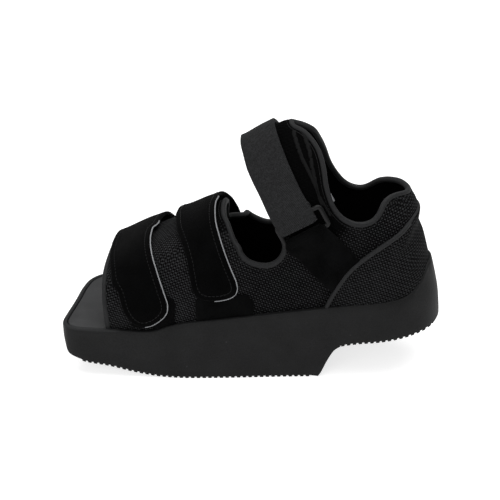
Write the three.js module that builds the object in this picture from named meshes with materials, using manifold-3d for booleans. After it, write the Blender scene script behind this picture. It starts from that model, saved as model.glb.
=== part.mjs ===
// Post operative shoe: a right shoe with a square open toe, a mesh upper closed by two forefoot straps and a
// webbing ankle strap, on a thick wedge sole that is cut away under the heel.
// Millimetres, toe along +X, inner side of the foot along +Y, up along +Z.
// The origin lies on the ground, under the centre of the tread.

import * as THREE from 'three';
import { mergeVertices } from 'three/addons/utils/BufferGeometryUtils.js';
import Module from 'manifold-3d';

const wasm = await Module();
wasm.setup();

// Driving sizes. Tables below hold hundredths of LENGTH, of HEIGHT and of HALF_BALL.
const LENGTH = 296;
const HEIGHT = 200;
const BALL_WIDTH = 110;
const HALF_BALL = BALL_WIDTH / 2;

const GAP = 0.35;
const WALL = 2.8;
const RIM_WALL = 3.6;
const INSOLE_THICKNESS = 4.2;
const STRAP_THICKNESS = 3.2;
const BAND_THICKNESS = 1.9;
const PATCH_THICKNESS = 1.3;
const COUNTER_THICKNESS = 1.5;
const PIPING_HEIGHT = 3.4;
const PIPING_WIDTH = 3.4;
const BINDING_WIDTH = 4.2;
const BINDING_PROUD = 0.9;
const FLAP_STEP = 1.6;

const RIB_PITCH = 4.5;
const RIB_DEPTH = 1.3;
const RIB_LAND = 2.7;

const RING_LENGTH = 40;
const RING_WIDTH = 19.5;
const RING_BAR = 3.6;
const RING_THICKNESS = 3.2;
const RING_CLEARANCE = 0.4;
const RING_SLOPE = 30;
const RING_TILT = 9;
const FOLD_LENGTH = 30;

// The ring's middle, as shares of LENGTH, HALF_BALL and HEIGHT
const RING_MIDDLE = [-0.131, 0.76, 0.647];

// Wide enough to cut through the whole shoe from side to side
const REACH_ACROSS = 90;

// How far near and far halves run into each other along the crown
const HALVES_OVERLAP = 0.01;

// The form stands on a plane inside the sole, and forms that cut others reach down a little further
const FORM_BASE = 30;
const CUTTER_BASE = 25;
const ROW_STEPS = 1;
const ARCH_STEPS = 2;

// Where the near flap's edge lies on the arch, as a share of its walk from the near base to the far one, and
// the stretches of that walk where the flap rises to its full step
const FLAP_EDGE = 13 / 24;
const FLAP_EDGE_SLOPE = 0.006;
const FLAP_RISE_START = 0.28;
const FLAP_RISE_END = 0.42;

// A table's rows become objects with named columns
function table(columns, rows) {
  return rows.map((row) => Object.fromEntries(columns.map((name, index) => [name, row[index]])));
}

// Points of a side view, from hundredths of LENGTH and of HEIGHT
function side(points) {
  return points.map(([along, up]) => new THREE.Vector2((along * LENGTH) / 100, (up * HEIGHT) / 100));
}

// The form of the foot that the upper is drawn over, as sections from the toe to the heel. Each section is a
// plane that stands on the base, leaning back by lean degrees, with an arch of the given reach in it. w20 to
// w94 are the arch's half-widths at 20 to 94 hundredths of the reach, as shares of the base half-width.
// bow is how far the forefoot straps stand off the crown, and lap how far the near flap's step shows there.
const formRows = table(
  ['along', 'lean', 'reach', 'near', 'far', 'w20', 'w40', 'w60', 'w80', 'w94', 'bow', 'lap'],
  [
    [43.2, 0, 25.2, 86.5, 74.0, 1.0, 1.02, 1.01, 0.92, 0.68, 0, 1],
    [37.2, 0, 27.4, 92.5, 84.5, 1.0, 1.03, 1.02, 0.9, 0.64, 0, 1],
    [27.0, 0, 35.3, 92.5, 93.5, 1.01, 1.03, 1.0, 0.85, 0.56, 0, 1],
    [18.6, 0, 39.7, 91.0, 95.5, 1.01, 1.02, 0.98, 0.82, 0.52, 1.3, 1],
    [11.5, 0, 41.2, 88.5, 91.0, 1.0, 1.0, 0.97, 0.79, 0.5, 5.1, 1],
    [7.0, 0, 41.6, 86.5, 89.0, 0.99, 0.98, 0.95, 0.78, 0.49, 7.4, 1],
    [3.9, 0, 43.6, 85.5, 87.5, 0.98, 0.97, 0.93, 0.75, 0.45, 7.6, 1],
    [1.0, -4, 72.0, 84.5, 86.0, 0.97, 0.92, 0.82, 0.54, 0.27, 0, 1],
    [-2.2, -3, 76.0, 82.5, 84.5, 0.97, 0.92, 0.85, 0.56, 0.27, 0, 1],
    [-5.4, -1, 80.4, 80.0, 82.5, 0.97, 0.93, 0.88, 0.58, 0.27, 0, 1],
    [-8.8, 0, 83.2, 78.0, 80.0, 0.98, 0.94, 0.9, 0.61, 0.28, 0, 1],
    [-12.8, 0, 82.6, 75.5, 77.0, 0.98, 0.96, 0.93, 0.66, 0.31, 0, 1],
    [-16.9, 0, 80.5, 73.5, 74.5, 0.99, 0.97, 0.95, 0.72, 0.36, 0, 1],
    [-20.4, 0, 77.5, 70.5, 71.5, 0.99, 0.98, 0.97, 0.78, 0.42, 0, 0.5],
    [-20.4, 10, 72.0, 70.5, 71.5, 0.99, 0.99, 0.99, 0.84, 0.46, 0, 0],
    [-20.4, 19, 67.6, 70.5, 71.5, 1.0, 1.0, 0.99, 0.87, 0.47, 0, 0],
    [-20.4, 28, 64.2, 70.5, 71.5, 1.0, 1.0, 0.99, 0.86, 0.5, 0, 0],
    [-20.4, 32.6, 61.0, 70.5, 71.5, 1.0, 1.0, 0.98, 0.84, 0.5, 0, 0],
    [-20.4, 36, 55.6, 70.5, 71.5, 1.0, 1.0, 0.97, 0.82, 0.49, 0, 0],
    [-20.4, 41, 52.9, 70.5, 71.5, 1.0, 1.0, 0.96, 0.8, 0.47, 0, 0],
    [-20.4, 49, 48.9, 70.5, 71.5, 1.0, 0.99, 0.94, 0.78, 0.46, 0, 0],
    [-20.4, 62, 44.6, 70.5, 71.5, 0.99, 0.98, 0.92, 0.76, 0.46, 0, 0],
    [-20.4, 76, 42.6, 70.5, 71.5, 0.99, 0.97, 0.91, 0.75, 0.45, 0, 0],
    [-20.4, 90, 41.5, 70.5, 71.5, 0.99, 0.97, 0.91, 0.75, 0.45, 0, 0],
  ],
);

// Places on the arch where it has points, with a close pair at the edge of the near flap
const archCount = 12 * ARCH_STEPS;
const archPlaces = [
  ...Array.from({ length: archCount + 1 }, (_, index) => index / archCount),
  FLAP_EDGE + FLAP_EDGE_SLOPE,
].sort((a, b) => a - b);

// Slope of a walk between two neighbouring steps, held back so that it never overshoots
function easySlope(before, after) {
  return before * after <= 0 ? 0 : (2 * before * after) / (before + after);
}

// Rows between the table's rows, along smooth curves
function smoothRows(rows, steps) {
  const result = [];
  for (let index = 0; index < rows.length - 1; index += 1) {
    const [before, start, end, after] = [-1, 0, 1, 2].map((shift) =>
      rows[Math.min(Math.max(index + shift, 0), rows.length - 1)]);
    for (let step = 0; step < steps; step += 1) {
      const t = step / steps;
      const row = {};
      for (const name of Object.keys(start)) {
        const change = end[name] - start[name];
        const slopeIn = easySlope(start[name] - before[name], change);
        const slopeOut = easySlope(change, after[name] - end[name]);
        row[name] = start[name] + change * (3 * t ** 2 - 2 * t ** 3)
          + slopeIn * (t ** 3 - 2 * t ** 2 + t) + slopeOut * (t ** 3 - t ** 2);
      }
      result.push(row);
    }
  }
  result.push(rows[rows.length - 1]);
  return result;
}

// The arch of one section, from the near base over the crown to the far base
function archPoints(row) {
  const rise = [[1, 0], [row.w20, 0.2], [row.w40, 0.4], [row.w60, 0.6], [row.w80, 0.8], [row.w94, 0.94]];
  const near = rise.map(([width, height]) => new THREE.Vector3(width, height, 0));
  const far = near.map((point) => new THREE.Vector3(-point.x, point.y, 0)).reverse();
  const curve = new THREE.CatmullRomCurve3([...near, new THREE.Vector3(0, 1, 0), ...far], false, 'centripetal');
  return archPlaces.map((place) => curve.getPoint(place));
}

// Share of the flap's step at a place on the arch. The near flap lies over the far one along the crown, so the
// step ends sharply just past the crown, or eases out on both sides where something is laid over it.
function flapLift(place, laidOver) {
  if (place <= FLAP_EDGE) {
    return THREE.MathUtils.smoothstep(place, FLAP_RISE_START, FLAP_RISE_END);
  }
  return laidOver ? THREE.MathUtils.smoothstep(1 - place, FLAP_RISE_START, FLAP_RISE_END) : 0;
}

// Places of the form's surface as a grid of sections and arch points, with its outward directions
function formGrid(bowed) {
  const sections = smoothRows(formRows, ROW_STEPS);
  const points = sections.map((row) => {
    const lean = THREE.MathUtils.degToRad(row.lean);
    const reach = ((row.reach + (bowed ? row.bow : 0)) * HEIGHT) / 100;
    return archPoints(row).map((share) => {
      const halfWidth = ((share.x >= 0 ? row.near : row.far) * HALF_BALL) / 100;
      const height = share.y * reach;
      return new THREE.Vector3(
        (row.along * LENGTH) / 100 - Math.sin(lean) * height,
        share.x * halfWidth,
        FORM_BASE + Math.cos(lean) * height,
      );
    });
  });
  const clampAt = (list, index) => list[Math.min(Math.max(index, 0), list.length - 1)];
  const outward = points.map((line, i) => line.map((_, j) => {
    const along = new THREE.Vector3().subVectors(clampAt(points, i + 1)[j], clampAt(points, i - 1)[j]);
    const around = new THREE.Vector3().subVectors(clampAt(line, j + 1), clampAt(line, j - 1));
    return along.cross(around).normalize();
  }));
  return { sections, points, outward };
}

// A closed geometry from points and triangles
function closedGeometry(points, triangles) {
  const geometry = new THREE.BufferGeometry().setFromPoints(points);
  geometry.setIndex(triangles);
  return geometry;
}

// A solid for cutting and joining, from a closed geometry
function solid(geometry) {
  geometry.deleteAttribute('normal');
  geometry.deleteAttribute('uv');
  const merged = mergeVertices(geometry, 1e-4);
  return new wasm.Manifold(new wasm.Mesh({
    numProp: 3,
    vertProperties: merged.attributes.position.array,
    triVerts: Uint32Array.from(merged.index.array),
  }));
}

// The form grown outward by a distance, as a closed solid standing on a flat base
function form(grow, { lift = 'none', bowed = false, base = FORM_BASE } = {}) {
  const { sections, points, outward } = formGrid(bowed);
  const pivot = sections.findIndex((row) => row.along === formRows[formRows.length - 1].along);
  const last = sections.length - 1;
  const count = points[0].length - 1;
  const vertices = [];
  const indexOf = points.map((line, i) => line.map((point, j) => {
    const atBase = j === 0 || j === count;
    if (atBase && i > pivot) {
      return undefined;
    }
    const lap = lift === 'none' ? 0 : sections[i].lap * flapLift(archPlaces[j], lift === 'over');
    const vertex = point.clone().addScaledVector(outward[i][j], grow + FLAP_STEP * lap);
    if (atBase || i === last) {
      vertex.z = base;
    }
    vertices.push(vertex);
    return vertices.length - 1;
  }));
  for (let i = pivot + 1; i <= last; i += 1) {
    indexOf[i][0] = indexOf[pivot][0];
    indexOf[i][count] = indexOf[pivot][count];
  }
  const addPoint = (vertex) => vertices.push(vertex) - 1;
  const triangles = [];
  const addTriangle = (a, b, c) => {
    if (a !== b && b !== c && c !== a) {
      triangles.push(a, b, c);
    }
  };
  for (let i = 0; i < last; i += 1) {
    for (let j = 0; j < count; j += 1) {
      addTriangle(indexOf[i][j], indexOf[i + 1][j], indexOf[i][j + 1]);
      addTriangle(indexOf[i + 1][j], indexOf[i + 1][j + 1], indexOf[i][j + 1]);
    }
  }
  const toeMiddle = addPoint(new THREE.Vector3(points[0][0].x, 0, 1.2 * FORM_BASE));
  for (let j = 0; j < count; j += 1) {
    addTriangle(toeMiddle, indexOf[0][j], indexOf[0][j + 1]);
  }
  addTriangle(toeMiddle, indexOf[0][count], indexOf[0][0]);
  for (let i = 0; i < pivot; i += 1) {
    addTriangle(indexOf[i][0], indexOf[i][count], indexOf[i + 1][count]);
    addTriangle(indexOf[i][0], indexOf[i + 1][count], indexOf[i + 1][0]);
  }
  const heelMiddle = addPoint(new THREE.Vector3(1.2 * points[pivot][0].x, 0, base));
  for (let j = 0; j < count; j += 1) {
    addTriangle(heelMiddle, indexOf[last][j + 1], indexOf[last][j]);
  }
  addTriangle(heelMiddle, indexOf[pivot][0], indexOf[pivot][count]);
  return solid(closedGeometry(vertices, triangles));
}

// A side view outline run across the shoe, between two places across it
function across(outline, from = -REACH_ACROSS, to = REACH_ACROSS) {
  const geometry = new THREE.ExtrudeGeometry(new THREE.Shape(outline), {
    depth: to - from,
    bevelEnabled: false,
  });
  geometry.rotateX(Math.PI / 2);
  geometry.translate(0, to, 0);
  return solid(geometry);
}

// The line moved sideways, to the left of its direction for a positive distance
function beside(line, distance) {
  return line.map((point, index) => {
    const before = line[Math.max(index - 1, 0)];
    const after = line[Math.min(index + 1, line.length - 1)];
    const heading = new THREE.Vector2().subVectors(after, before).normalize();
    return new THREE.Vector2(point.x - heading.y * distance, point.y + heading.x * distance);
  });
}

// A side view outline for the near half of the shoe and another for the far half, run across to where they meet
function halves(near, far) {
  return across(near, 0).add(across(far, -REACH_ACROSS, HALVES_OVERLAP));
}

// The strip between two distances beside a line
function strip(line, from, to) {
  return [...beside(line, from), ...beside(line, to).reverse()];
}

// A layer laid over the upper, between two distances from the form
function layer(from, to, options = {}) {
  return form(to, { lift: 'over', ...options }).subtract(form(from, { lift: 'over', ...options, base: CUTTER_BASE }));
}

const object = new THREE.Group();

// Adds a finished solid to the shoe as a named mesh
function addPiece(name, body, material) {
  const { vertProperties, triVerts } = body.getMesh();
  const geometry = new THREE.BufferGeometry();
  geometry.setAttribute('position', new THREE.BufferAttribute(vertProperties, 3));
  geometry.setIndex(new THREE.BufferAttribute(triVerts, 1));
  geometry.computeVertexNormals();
  const mesh = new THREE.Mesh(geometry, material);
  mesh.name = name;
  object.add(mesh);
}

const soleFoam = new THREE.MeshStandardMaterial({ color: 0x2b2c2f, roughness: 0.85, metalness: 0 });
const insoleFoam = new THREE.MeshStandardMaterial({ color: 0x47494d, roughness: 0.8, metalness: 0 });
const knit = new THREE.MeshStandardMaterial({ color: 0x17181a, roughness: 0.9, metalness: 0 });
const boundEdge = new THREE.MeshStandardMaterial({ color: 0x2f3033, roughness: 0.7, metalness: 0 });
const fleece = new THREE.MeshStandardMaterial({ color: 0x141416, roughness: 1, metalness: 0 });
const webbing = new THREE.MeshStandardMaterial({ color: 0x2a2b2e, roughness: 0.75, metalness: 0 });
const ringPlastic = new THREE.MeshStandardMaterial({ color: 0x1a1a1b, roughness: 0.35, metalness: 0 });

// Lines of the side view, toe to heel
const rimLine = side([
  [50.2, 20.8], [38, 20.8], [26.2, 20.8], [20.8, 23.5], [14.1, 25.1], [7.4, 26.1], [-0.5, 27.3], [-8.4, 28.5],
  [-15.5, 29.7], [-23.2, 31.1], [-31.2, 32.3], [-38.0, 33.6], [-41.8, 35.5], [-44.5, 39.8], [-46.0, 43.7],
  [-47.2, 44.3],
]);
const floorLine = side([[60, 18.6], [20, 18.6], [0, 20.6], [-24, 22.6], [-60, 23.6]]);
const toeLine = side([[38, 18], [38.3, 27], [38.7, 33], [39, 38], [39.2, 42], [39, 45], [38.2, 52]]);
const throatLine = side([
  [8.5, 63], [8.2, 57.6], [7.4, 56.6], [6.1, 55.9], [4.9, 54.9], [3.7, 53.6], [2.4, 52], [1.1, 50.6],
  [-0.3, 49.5], [-1.7, 48.6], [-3.2, 48.1], [-4.7, 48.3], [-6.3, 49.1], [-7.6, 50.6], [-8.5, 52.7],
  [-8.7, 55], [-8.1, 59], [-6.7, 65], [-4.4, 72.5], [-1.7, 80], [0.7, 87], [2.6, 96],
]);
const toeEdge = { near: toeLine, far: toeLine };
const throatEdge = { near: throatLine, far: throatLine };
const wingTop = [[-9.3, 104], [-9.7, 99.8], [-10.4, 98.5], [-11.9, 98]];
const heelBack = [[-38.4, 74.1], [-41.7, 73.1], [-46.2, 71.5]];
const collarEdge = {
  near: side([
    ...wingTop, [-13.7, 96.5], [-15.4, 94.2], [-16.8, 91.8], [-17.8, 88.9], [-18.5, 85.6], [-19.3, 79.2],
    [-20.9, 72.3], [-23.5, 67.6], [-27.2, 65.5], [-30.9, 67.1], [-33, 72], [-34.3, 73.6], [-36.2, 74.3],
    ...heelBack,
  ]),
  far: side([
    ...wingTop, [-13.9, 97], [-15.7, 94.6], [-17, 90.2], [-18, 86.2], [-19.6, 78], [-22, 71.2],
    [-25.2, 66.6], [-27.4, 65.8], [-30.5, 67.9], [-34.7, 72.4], [-36.4, 73.4], ...heelBack,
  ]),
};
const counterEdge = side([
  [-18.7, 26], [-18.9, 29.7], [-19.7, 32.7], [-22.3, 40.3], [-25.5, 47.6], [-29.8, 53.6], [-34.7, 58.8],
  [-39.4, 63.4], [-42, 65.6], [-46, 67.5],
]);

// Half planes of the side view
const belowFloor = across([...floorLine, ...side([[-60, -5], [60, -5]])]);
const belowRim = across([...beside(rimLine, -GAP), ...side([[-60, 44.5], [-60, -5], [60, -5], [60, 20.8]])]);

// Plan outline of the sole at its widest, from the toe's near corner round the heel
const soleOutline = new THREE.SplineCurve([
  [50.0, 60], [50.1, 72], [49.7, 83], [48.3, 92.5], [45.5, 97.5], [41, 99], [30.4, 99.5], [17.4, 98.5],
  [6.8, 94], [0, 90], [-8.4, 85], [-15.5, 81.5], [-25.3, 78.5], [-34.5, 75.5], [-41, 67.5], [-46.4, 48],
  [-49.3, 24], [-50, 0], [-49.3, -24], [-46.4, -48], [-41, -67.5], [-34.5, -76], [-25.3, -80], [-13.5, -85.5],
  [0, -92.5], [10, -99], [20.3, -101.5], [30.4, -99], [38.4, -91], [44, -77], [47.1, -58], [48.4, -30],
  [49, 10], [50.0, 60],
].map(([along, wide]) => new THREE.Vector2((along * LENGTH) / 100, (wide * HALF_BALL) / 100)))
  .getPoints(50)
  .slice(0, -1);

// The outline drawn in by a distance all round
function drawnIn(outline, distance) {
  const count = outline.length;
  return outline.map((point, index) => {
    const before = outline[(index - 1 + count) % count];
    const after = outline[(index + 1) % count];
    const heading = new THREE.Vector2().subVectors(after, before).normalize();
    return new THREE.Vector2(point.x - heading.y * distance, point.y + heading.x * distance);
  });
}

// A solid with the sole's outline at each level, drawn in by the level's own distances along the sides and
// round the back of the heel
function outlineStack(levels) {
  const rings = levels.map(([up, inward, inwardAtHeel]) => {
    const sides = drawnIn(soleOutline, inward);
    const heel = drawnIn(soleOutline, inwardAtHeel);
    return soleOutline.map((point, index) => {
      const share = THREE.MathUtils.smoothstep(-point.x / LENGTH, 0.33, 0.48);
      const place = sides[index].lerp(heel[index], share);
      return new THREE.Vector3(place.x, place.y, up);
    });
  });
  const count = soleOutline.length;
  const triangles = [];
  for (let level = 0; level < levels.length - 1; level += 1) {
    for (let index = 0; index < count; index += 1) {
      const here = level * count + index;
      const next = level * count + ((index + 1) % count);
      triangles.push(here, next, here + count, next, next + count, here + count);
    }
  }
  const caps = THREE.ShapeUtils.triangulateShape(soleOutline, []);
  const top = (levels.length - 1) * count;
  for (const [a, b, c] of caps) {
    triangles.push(top + a, top + b, top + c, c, b, a);
  }
  return solid(closedGeometry(rings.flat(), triangles));
}

// The room inside the sole's rim, a distance in from its outline
function insideRim(distance) {
  return outlineStack([[0.15 * HEIGHT, distance, distance], [0.5 * HEIGHT, distance, distance]]);
}

// Side view of the sole: flat tread with ribs, sprung toe, step under the heel, rim and heel cup
function soleSide() {
  const groundHalf = 0.174 * LENGTH;
  const ramp = side([[24, 0.5], [30.6, 2.2], [37.2, 4.6], [43.9, 6.1], [47.2, 8.3]]);
  const rampCurve = new THREE.SplineCurve([new THREE.Vector2(groundHalf, 0), ...ramp]);
  const bottomAt = (along) => {
    if (along <= groundHalf) {
      return 0;
    }
    const samples = rampCurve.getPoints(60);
    const after = samples.findIndex((point) => point.x >= along);
    const [low, high] = [samples[after - 1], samples[after]];
    return low.y + ((along - low.x) / (high.x - low.x)) * (high.y - low.y);
  };
  const tread = [];
  const firstRib = -Math.floor(groundHalf / RIB_PITCH);
  const lastRib = Math.floor((0.455 * LENGTH) / RIB_PITCH);
  for (let rib = firstRib; rib <= lastRib; rib += 1) {
    const middle = rib * RIB_PITCH;
    const start = middle - RIB_LAND / 2;
    const end = middle + RIB_LAND / 2;
    tread.push(new THREE.Vector2(start, bottomAt(start)), new THREE.Vector2(end, bottomAt(end)));
    if (rib < lastRib) {
      const grooveStart = end + 0.3;
      const grooveEnd = middle + RIB_PITCH - RIB_LAND / 2 - 0.3;
      tread.push(new THREE.Vector2(grooveStart, bottomAt(grooveStart) + RIB_DEPTH));
      tread.push(new THREE.Vector2(grooveEnd, bottomAt(grooveEnd) + RIB_DEPTH));
    }
  }
  const toe = side([[47.4, 8.4], [48.6, 9.6], [49.3, 13], [49.8, 16], [50.2, 20.8]]);
  const back = side([[-48.5, 41.8], [-50.5, 36], [-50.5, 22], [-49.6, 20.6], [-48.1, 19.3]]);
  const heel = side([[-46, 18.4], [-41.3, 17.4], [-34.8, 15.9], [-28.4, 15], [-23.8, 13.9], [-22, 12]]);
  const step = side([[-18.8, 2.2], [-18, 0.5]]);
  return [...tread, ...toe, ...rimLine, ...back, ...heel, ...step];
}

function makeSole() {
  const levels = [
    [-1, 2.2, 2.2], [5, 0.5, 0.5], [20, 0, 0], [24, 0.5, 1.1], [30.5, 1.1, 3.6], [35.5, 2.7, 7.6],
    [42, 7.3, 13.5], [46, 9.1, 17.8],
  ].map(([up, inward, inwardAtHeel]) => [
    (up * HEIGHT) / 100,
    (inward * HALF_BALL) / 100,
    (inwardAtHeel * HALF_BALL) / 100,
  ]);
  const pocket = insideRim(RIM_WALL)
    .intersect(across(side([[36.6, 5], [60, 5], [60, 60], [36.6, 60]])));
  const recess = form(GAP, { base: CUTTER_BASE })
    .subtract(across(side([[37.2, 5], [60, 5], [60, 90], [37.2, 90]])))
    .add(pocket)
    .subtract(belowFloor);
  return across(soleSide()).intersect(outlineStack(levels)).subtract(recess);
}

function makeInsole() {
  const lower = beside(floorLine, -GAP);
  const upper = beside(floorLine, -INSOLE_THICKNESS);
  const slab = across([...lower, ...upper.reverse()]);
  const atToe = insideRim(RIM_WALL + GAP)
    .intersect(across(side([[38.2, 5], [60, 5], [60, 60], [38.2, 60]])));
  const inside = form(-WALL - GAP, { base: CUTTER_BASE });
  return inside.add(atToe).intersect(slab);
}

// The walls that remain of the upper once its openings are cut, short of each bound edge
function makeUpper() {
  const margin = BINDING_WIDTH + GAP;
  const shell = form(0, { lift: 'step' }).subtract(form(-WALL, { base: CUTTER_BASE }));
  const opening = (edge, beyond) => halves(
    [...beside(edge.near, margin), ...side(beyond)],
    [...beside(edge.far, margin), ...side(beyond)],
  );
  const floorCut = across([...beside(floorLine, -GAP), ...side([[-60, -5], [60, -5]])]);
  return shell
    .subtract(opening(toeEdge, [[60, 52], [60, 18]]))
    .subtract(opening(throatEdge, [[14, 98], [14, 66]]))
    .subtract(opening(collarEdge, [[-60, 70], [-60, 110], [-9, 110]]))
    .subtract(floorCut);
}

// A rolled edge that caps the upper's wall along one of its openings
function makeBinding(edge) {
  const bead = form(BINDING_PROUD, { lift: 'step' })
    .subtract(form(-WALL - BINDING_PROUD, { base: CUTTER_BASE }));
  return bead
    .intersect(halves(strip(edge.near, 0, BINDING_WIDTH), strip(edge.far, 0, BINDING_WIDTH)))
    .subtract(belowRim);
}

// Where the counter and its piping cover the heel, moved in from the counter's edge by a distance
function insideCounter(distance) {
  return across([...beside(counterEdge, distance), ...side([[-60, 66], [-60, 10], [-19.2, 10]])]);
}

function makeCounter() {
  return layer(GAP, GAP + COUNTER_THICKNESS)
    .intersect(insideCounter(PIPING_WIDTH + GAP))
    .subtract(belowRim);
}

function makeCounterPiping() {
  return layer(GAP, GAP + PIPING_HEIGHT)
    .intersect(across(strip(counterEdge, 0, PIPING_WIDTH)))
    .subtract(belowRim);
}

// The straps clear the bound edges and the loop patches that they cross
const strapFrom = BINDING_PROUD + GAP;
const foreStrapFrom = 2 * GAP + PATCH_THICKNESS;

const ringPlace = new THREE.Matrix4().makeRotationFromEuler(new THREE.Euler(
  THREE.MathUtils.degToRad(RING_TILT),
  THREE.MathUtils.degToRad(RING_SLOPE),
  0,
)).setPosition(RING_MIDDLE[0] * LENGTH, RING_MIDDLE[1] * HALF_BALL, RING_MIDDLE[2] * HEIGHT);

function roundedRectangle(width, height, radius) {
  const shape = new THREE.Shape();
  const x = width / 2 - radius;
  const y = height / 2 - radius;
  shape.absarc(x, y, radius, 0, Math.PI / 2);
  shape.absarc(-x, y, radius, Math.PI / 2, Math.PI);
  shape.absarc(-x, -y, radius, Math.PI, Math.PI * 1.5);
  shape.absarc(x, -y, radius, Math.PI * 1.5, Math.PI * 2);
  return shape;
}

// The ring's frame, grown by a distance on all its faces
function ringFrame(grow) {
  const frame = roundedRectangle(RING_LENGTH + 2 * grow, RING_WIDTH + 2 * grow, 2.5);
  frame.holes.push(roundedRectangle(
    RING_LENGTH - 2 * RING_BAR - 2 * grow,
    RING_WIDTH - 2 * RING_BAR - 2 * grow,
    1,
  ));
  const geometry = new THREE.ExtrudeGeometry(frame, {
    depth: RING_THICKNESS + 2 * grow,
    bevelEnabled: false,
    curveSegments: 3,
  });
  geometry.translate(0, 0, -RING_THICKNESS / 2 - grow);
  geometry.rotateX(-Math.PI / 2);
  return solid(geometry.applyMatrix4(ringPlace));
}

// The fold of a strap round one long bar of the ring: up is 1 for the upper bar and -1 for the lower one
function ringFold(up, thickness) {
  const wrap = 2 * (RING_CLEARANCE + thickness);
  const geometry = new THREE.ExtrudeGeometry(
    roundedRectangle(RING_BAR + wrap, RING_THICKNESS + wrap, 2.4),
    { depth: FOLD_LENGTH, bevelEnabled: false, curveSegments: 3 },
  );
  geometry.translate(0, 0, -FOLD_LENGTH / 2);
  geometry.rotateY(Math.PI / 2);
  geometry.rotateX(Math.PI / 2);
  geometry.translate(0, 0, (up * (RING_WIDTH - RING_BAR)) / 2);
  return solid(geometry.applyMatrix4(ringPlace));
}

const clearOfRing = ringFrame(RING_CLEARANCE);
const underFolds = form(strapFrom + 0.4, { lift: 'over', base: CUTTER_BASE });

// The band that holds the ring to the near side, sewn down under the counter's piping
function makeAnchorBand() {
  const outline = side([
    [-9.4, 56.4], [-9.9, 54], [-11.3, 51.5], [-15, 46.7], [-19.8, 41], [-24, 34], [-34, 44], [-27.2, 52],
    [-22.6, 57.8], [-19.4, 62.6], [-18.8, 65],
  ]);
  return layer(strapFrom, strapFrom + BAND_THICKNESS)
    .intersect(across(outline, 10))
    .add(ringFold(-1, BAND_THICKNESS).subtract(underFolds))
    .subtract(clearOfRing)
    .subtract(insideCounter(-GAP));
}

// The webbing strap: sewn down on the far side, over the ankle, through the ring and back over itself
function makeAnkleStrap() {
  const front = [
    [3.6, 104], [3.6, 91.6], [2.6, 87.5], [1.4, 82.9], [-0.3, 78.5], [-2.2, 74.1], [-4, 69.4], [-5.4, 66.5],
  ];
  const rear = [
    [-13.8, 74.3], [-12.2, 78], [-10.6, 82.3], [-9, 86.6], [-7.6, 90.8], [-6.4, 94.2], [-4.8, 99.1], [-4.8, 104],
  ];
  const doubled = side([...front, [-6.9, 65.4], [-15.4, 72], ...rear]);
  const single = side([
    ...front, [-8.2, 60], [-10.5, 53.5], [-15, 46.7], [-19.8, 41], [-24, 34], [-34, 44], [-27.2, 52],
    [-22.6, 57.8], [-19.6, 63], [-16.8, 68.6], ...rear,
  ]);
  const overlap = 0.5;
  const doubledEnd = -24;
  const near = layer(strapFrom, strapFrom + 2 * BAND_THICKNESS).intersect(across(doubled, doubledEnd));
  const far = layer(strapFrom, strapFrom + BAND_THICKNESS)
    .intersect(across(single, -REACH_ACROSS, doubledEnd + overlap));
  return near
    .add(far)
    .add(ringFold(1, BAND_THICKNESS).subtract(underFolds))
    .subtract(clearOfRing)
    .subtract(insideCounter(-GAP));
}

// A fleece strap over the forefoot, from its near outline and its far one, which meet along the crown
function makeForefootStrap(nearOutline, farOutline) {
  const band = layer(foreStrapFrom, foreStrapFrom + STRAP_THICKNESS, { bowed: true });
  return band.intersect(halves(side(nearOutline), side(farOutline))).subtract(belowRim);
}

function makeToeStrap() {
  const near = [
    [38.9, 58], [38.9, 46], [38, 44.2], [36.9, 43.4], [36.3, 41.8], [35.9, 39.4], [34.2, 37.2], [33.7, 35],
    [32.6, 29.2], [31.6, 26.3], [29.9, 23.9], [27.9, 22.8], [25.5, 23.8], [23.6, 25.8], [22.1, 27.9], [21.2, 30.4],
    [21.2, 33.8], [22.6, 39.9], [24.3, 46], [26.1, 50.8], [26.9, 52.6], [26.9, 53.8],
    [26.4, 54.6], [26.3, 55.4], [26.3, 64],
  ];
  const far = [
    [38.9, 58], [38.9, 46], [38.2, 43.5], [36.8, 36], [35.4, 28], [34.8, 12], [21.4, 12], [21.4, 28], [22, 38],
    [22.8, 46], [24.4, 52], [25.6, 54.2], [26.1, 54.8], [26.3, 55.4], [26.3, 64],
  ];
  return makeForefootStrap(near, far);
}

function makeInstepStrap() {
  const near = [
    [21.2, 70], [21.2, 58.5], [19.9, 56.7], [18.5, 55.2], [17.4, 53.2], [16.4, 50], [15.3, 42.5], [14.9, 39.2],
    [13.9, 36.3], [12.2, 34.9], [10.2, 34.4], [7.5, 34.5], [5.2, 35.3], [3.7, 36.9], [3.2, 39.2], [3.6, 42.5],
    [4.8, 46.6], [6.4, 52], [8.2, 58.5], [9.3, 62], [9.9, 64.5], [10, 67], [10, 72],
  ];
  const far = [
    [21.2, 70], [21.2, 58.5], [20.6, 53], [19.6, 47], [18.4, 38], [17.6, 28], [17.4, 12], [3.6, 12], [3.6, 36],
    [4.2, 46], [5.4, 52.5], [6.8, 57.7], [8.3, 61.5], [9.4, 64.5], [10, 67], [10, 72],
  ];
  return makeForefootStrap(near, far);
}

// A patch of loops on the near side, under the end of a forefoot strap
function makePatch(outline) {
  return layer(GAP, GAP + PATCH_THICKNESS)
    .intersect(across(side(outline), 10))
    .subtract(belowRim);
}

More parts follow.
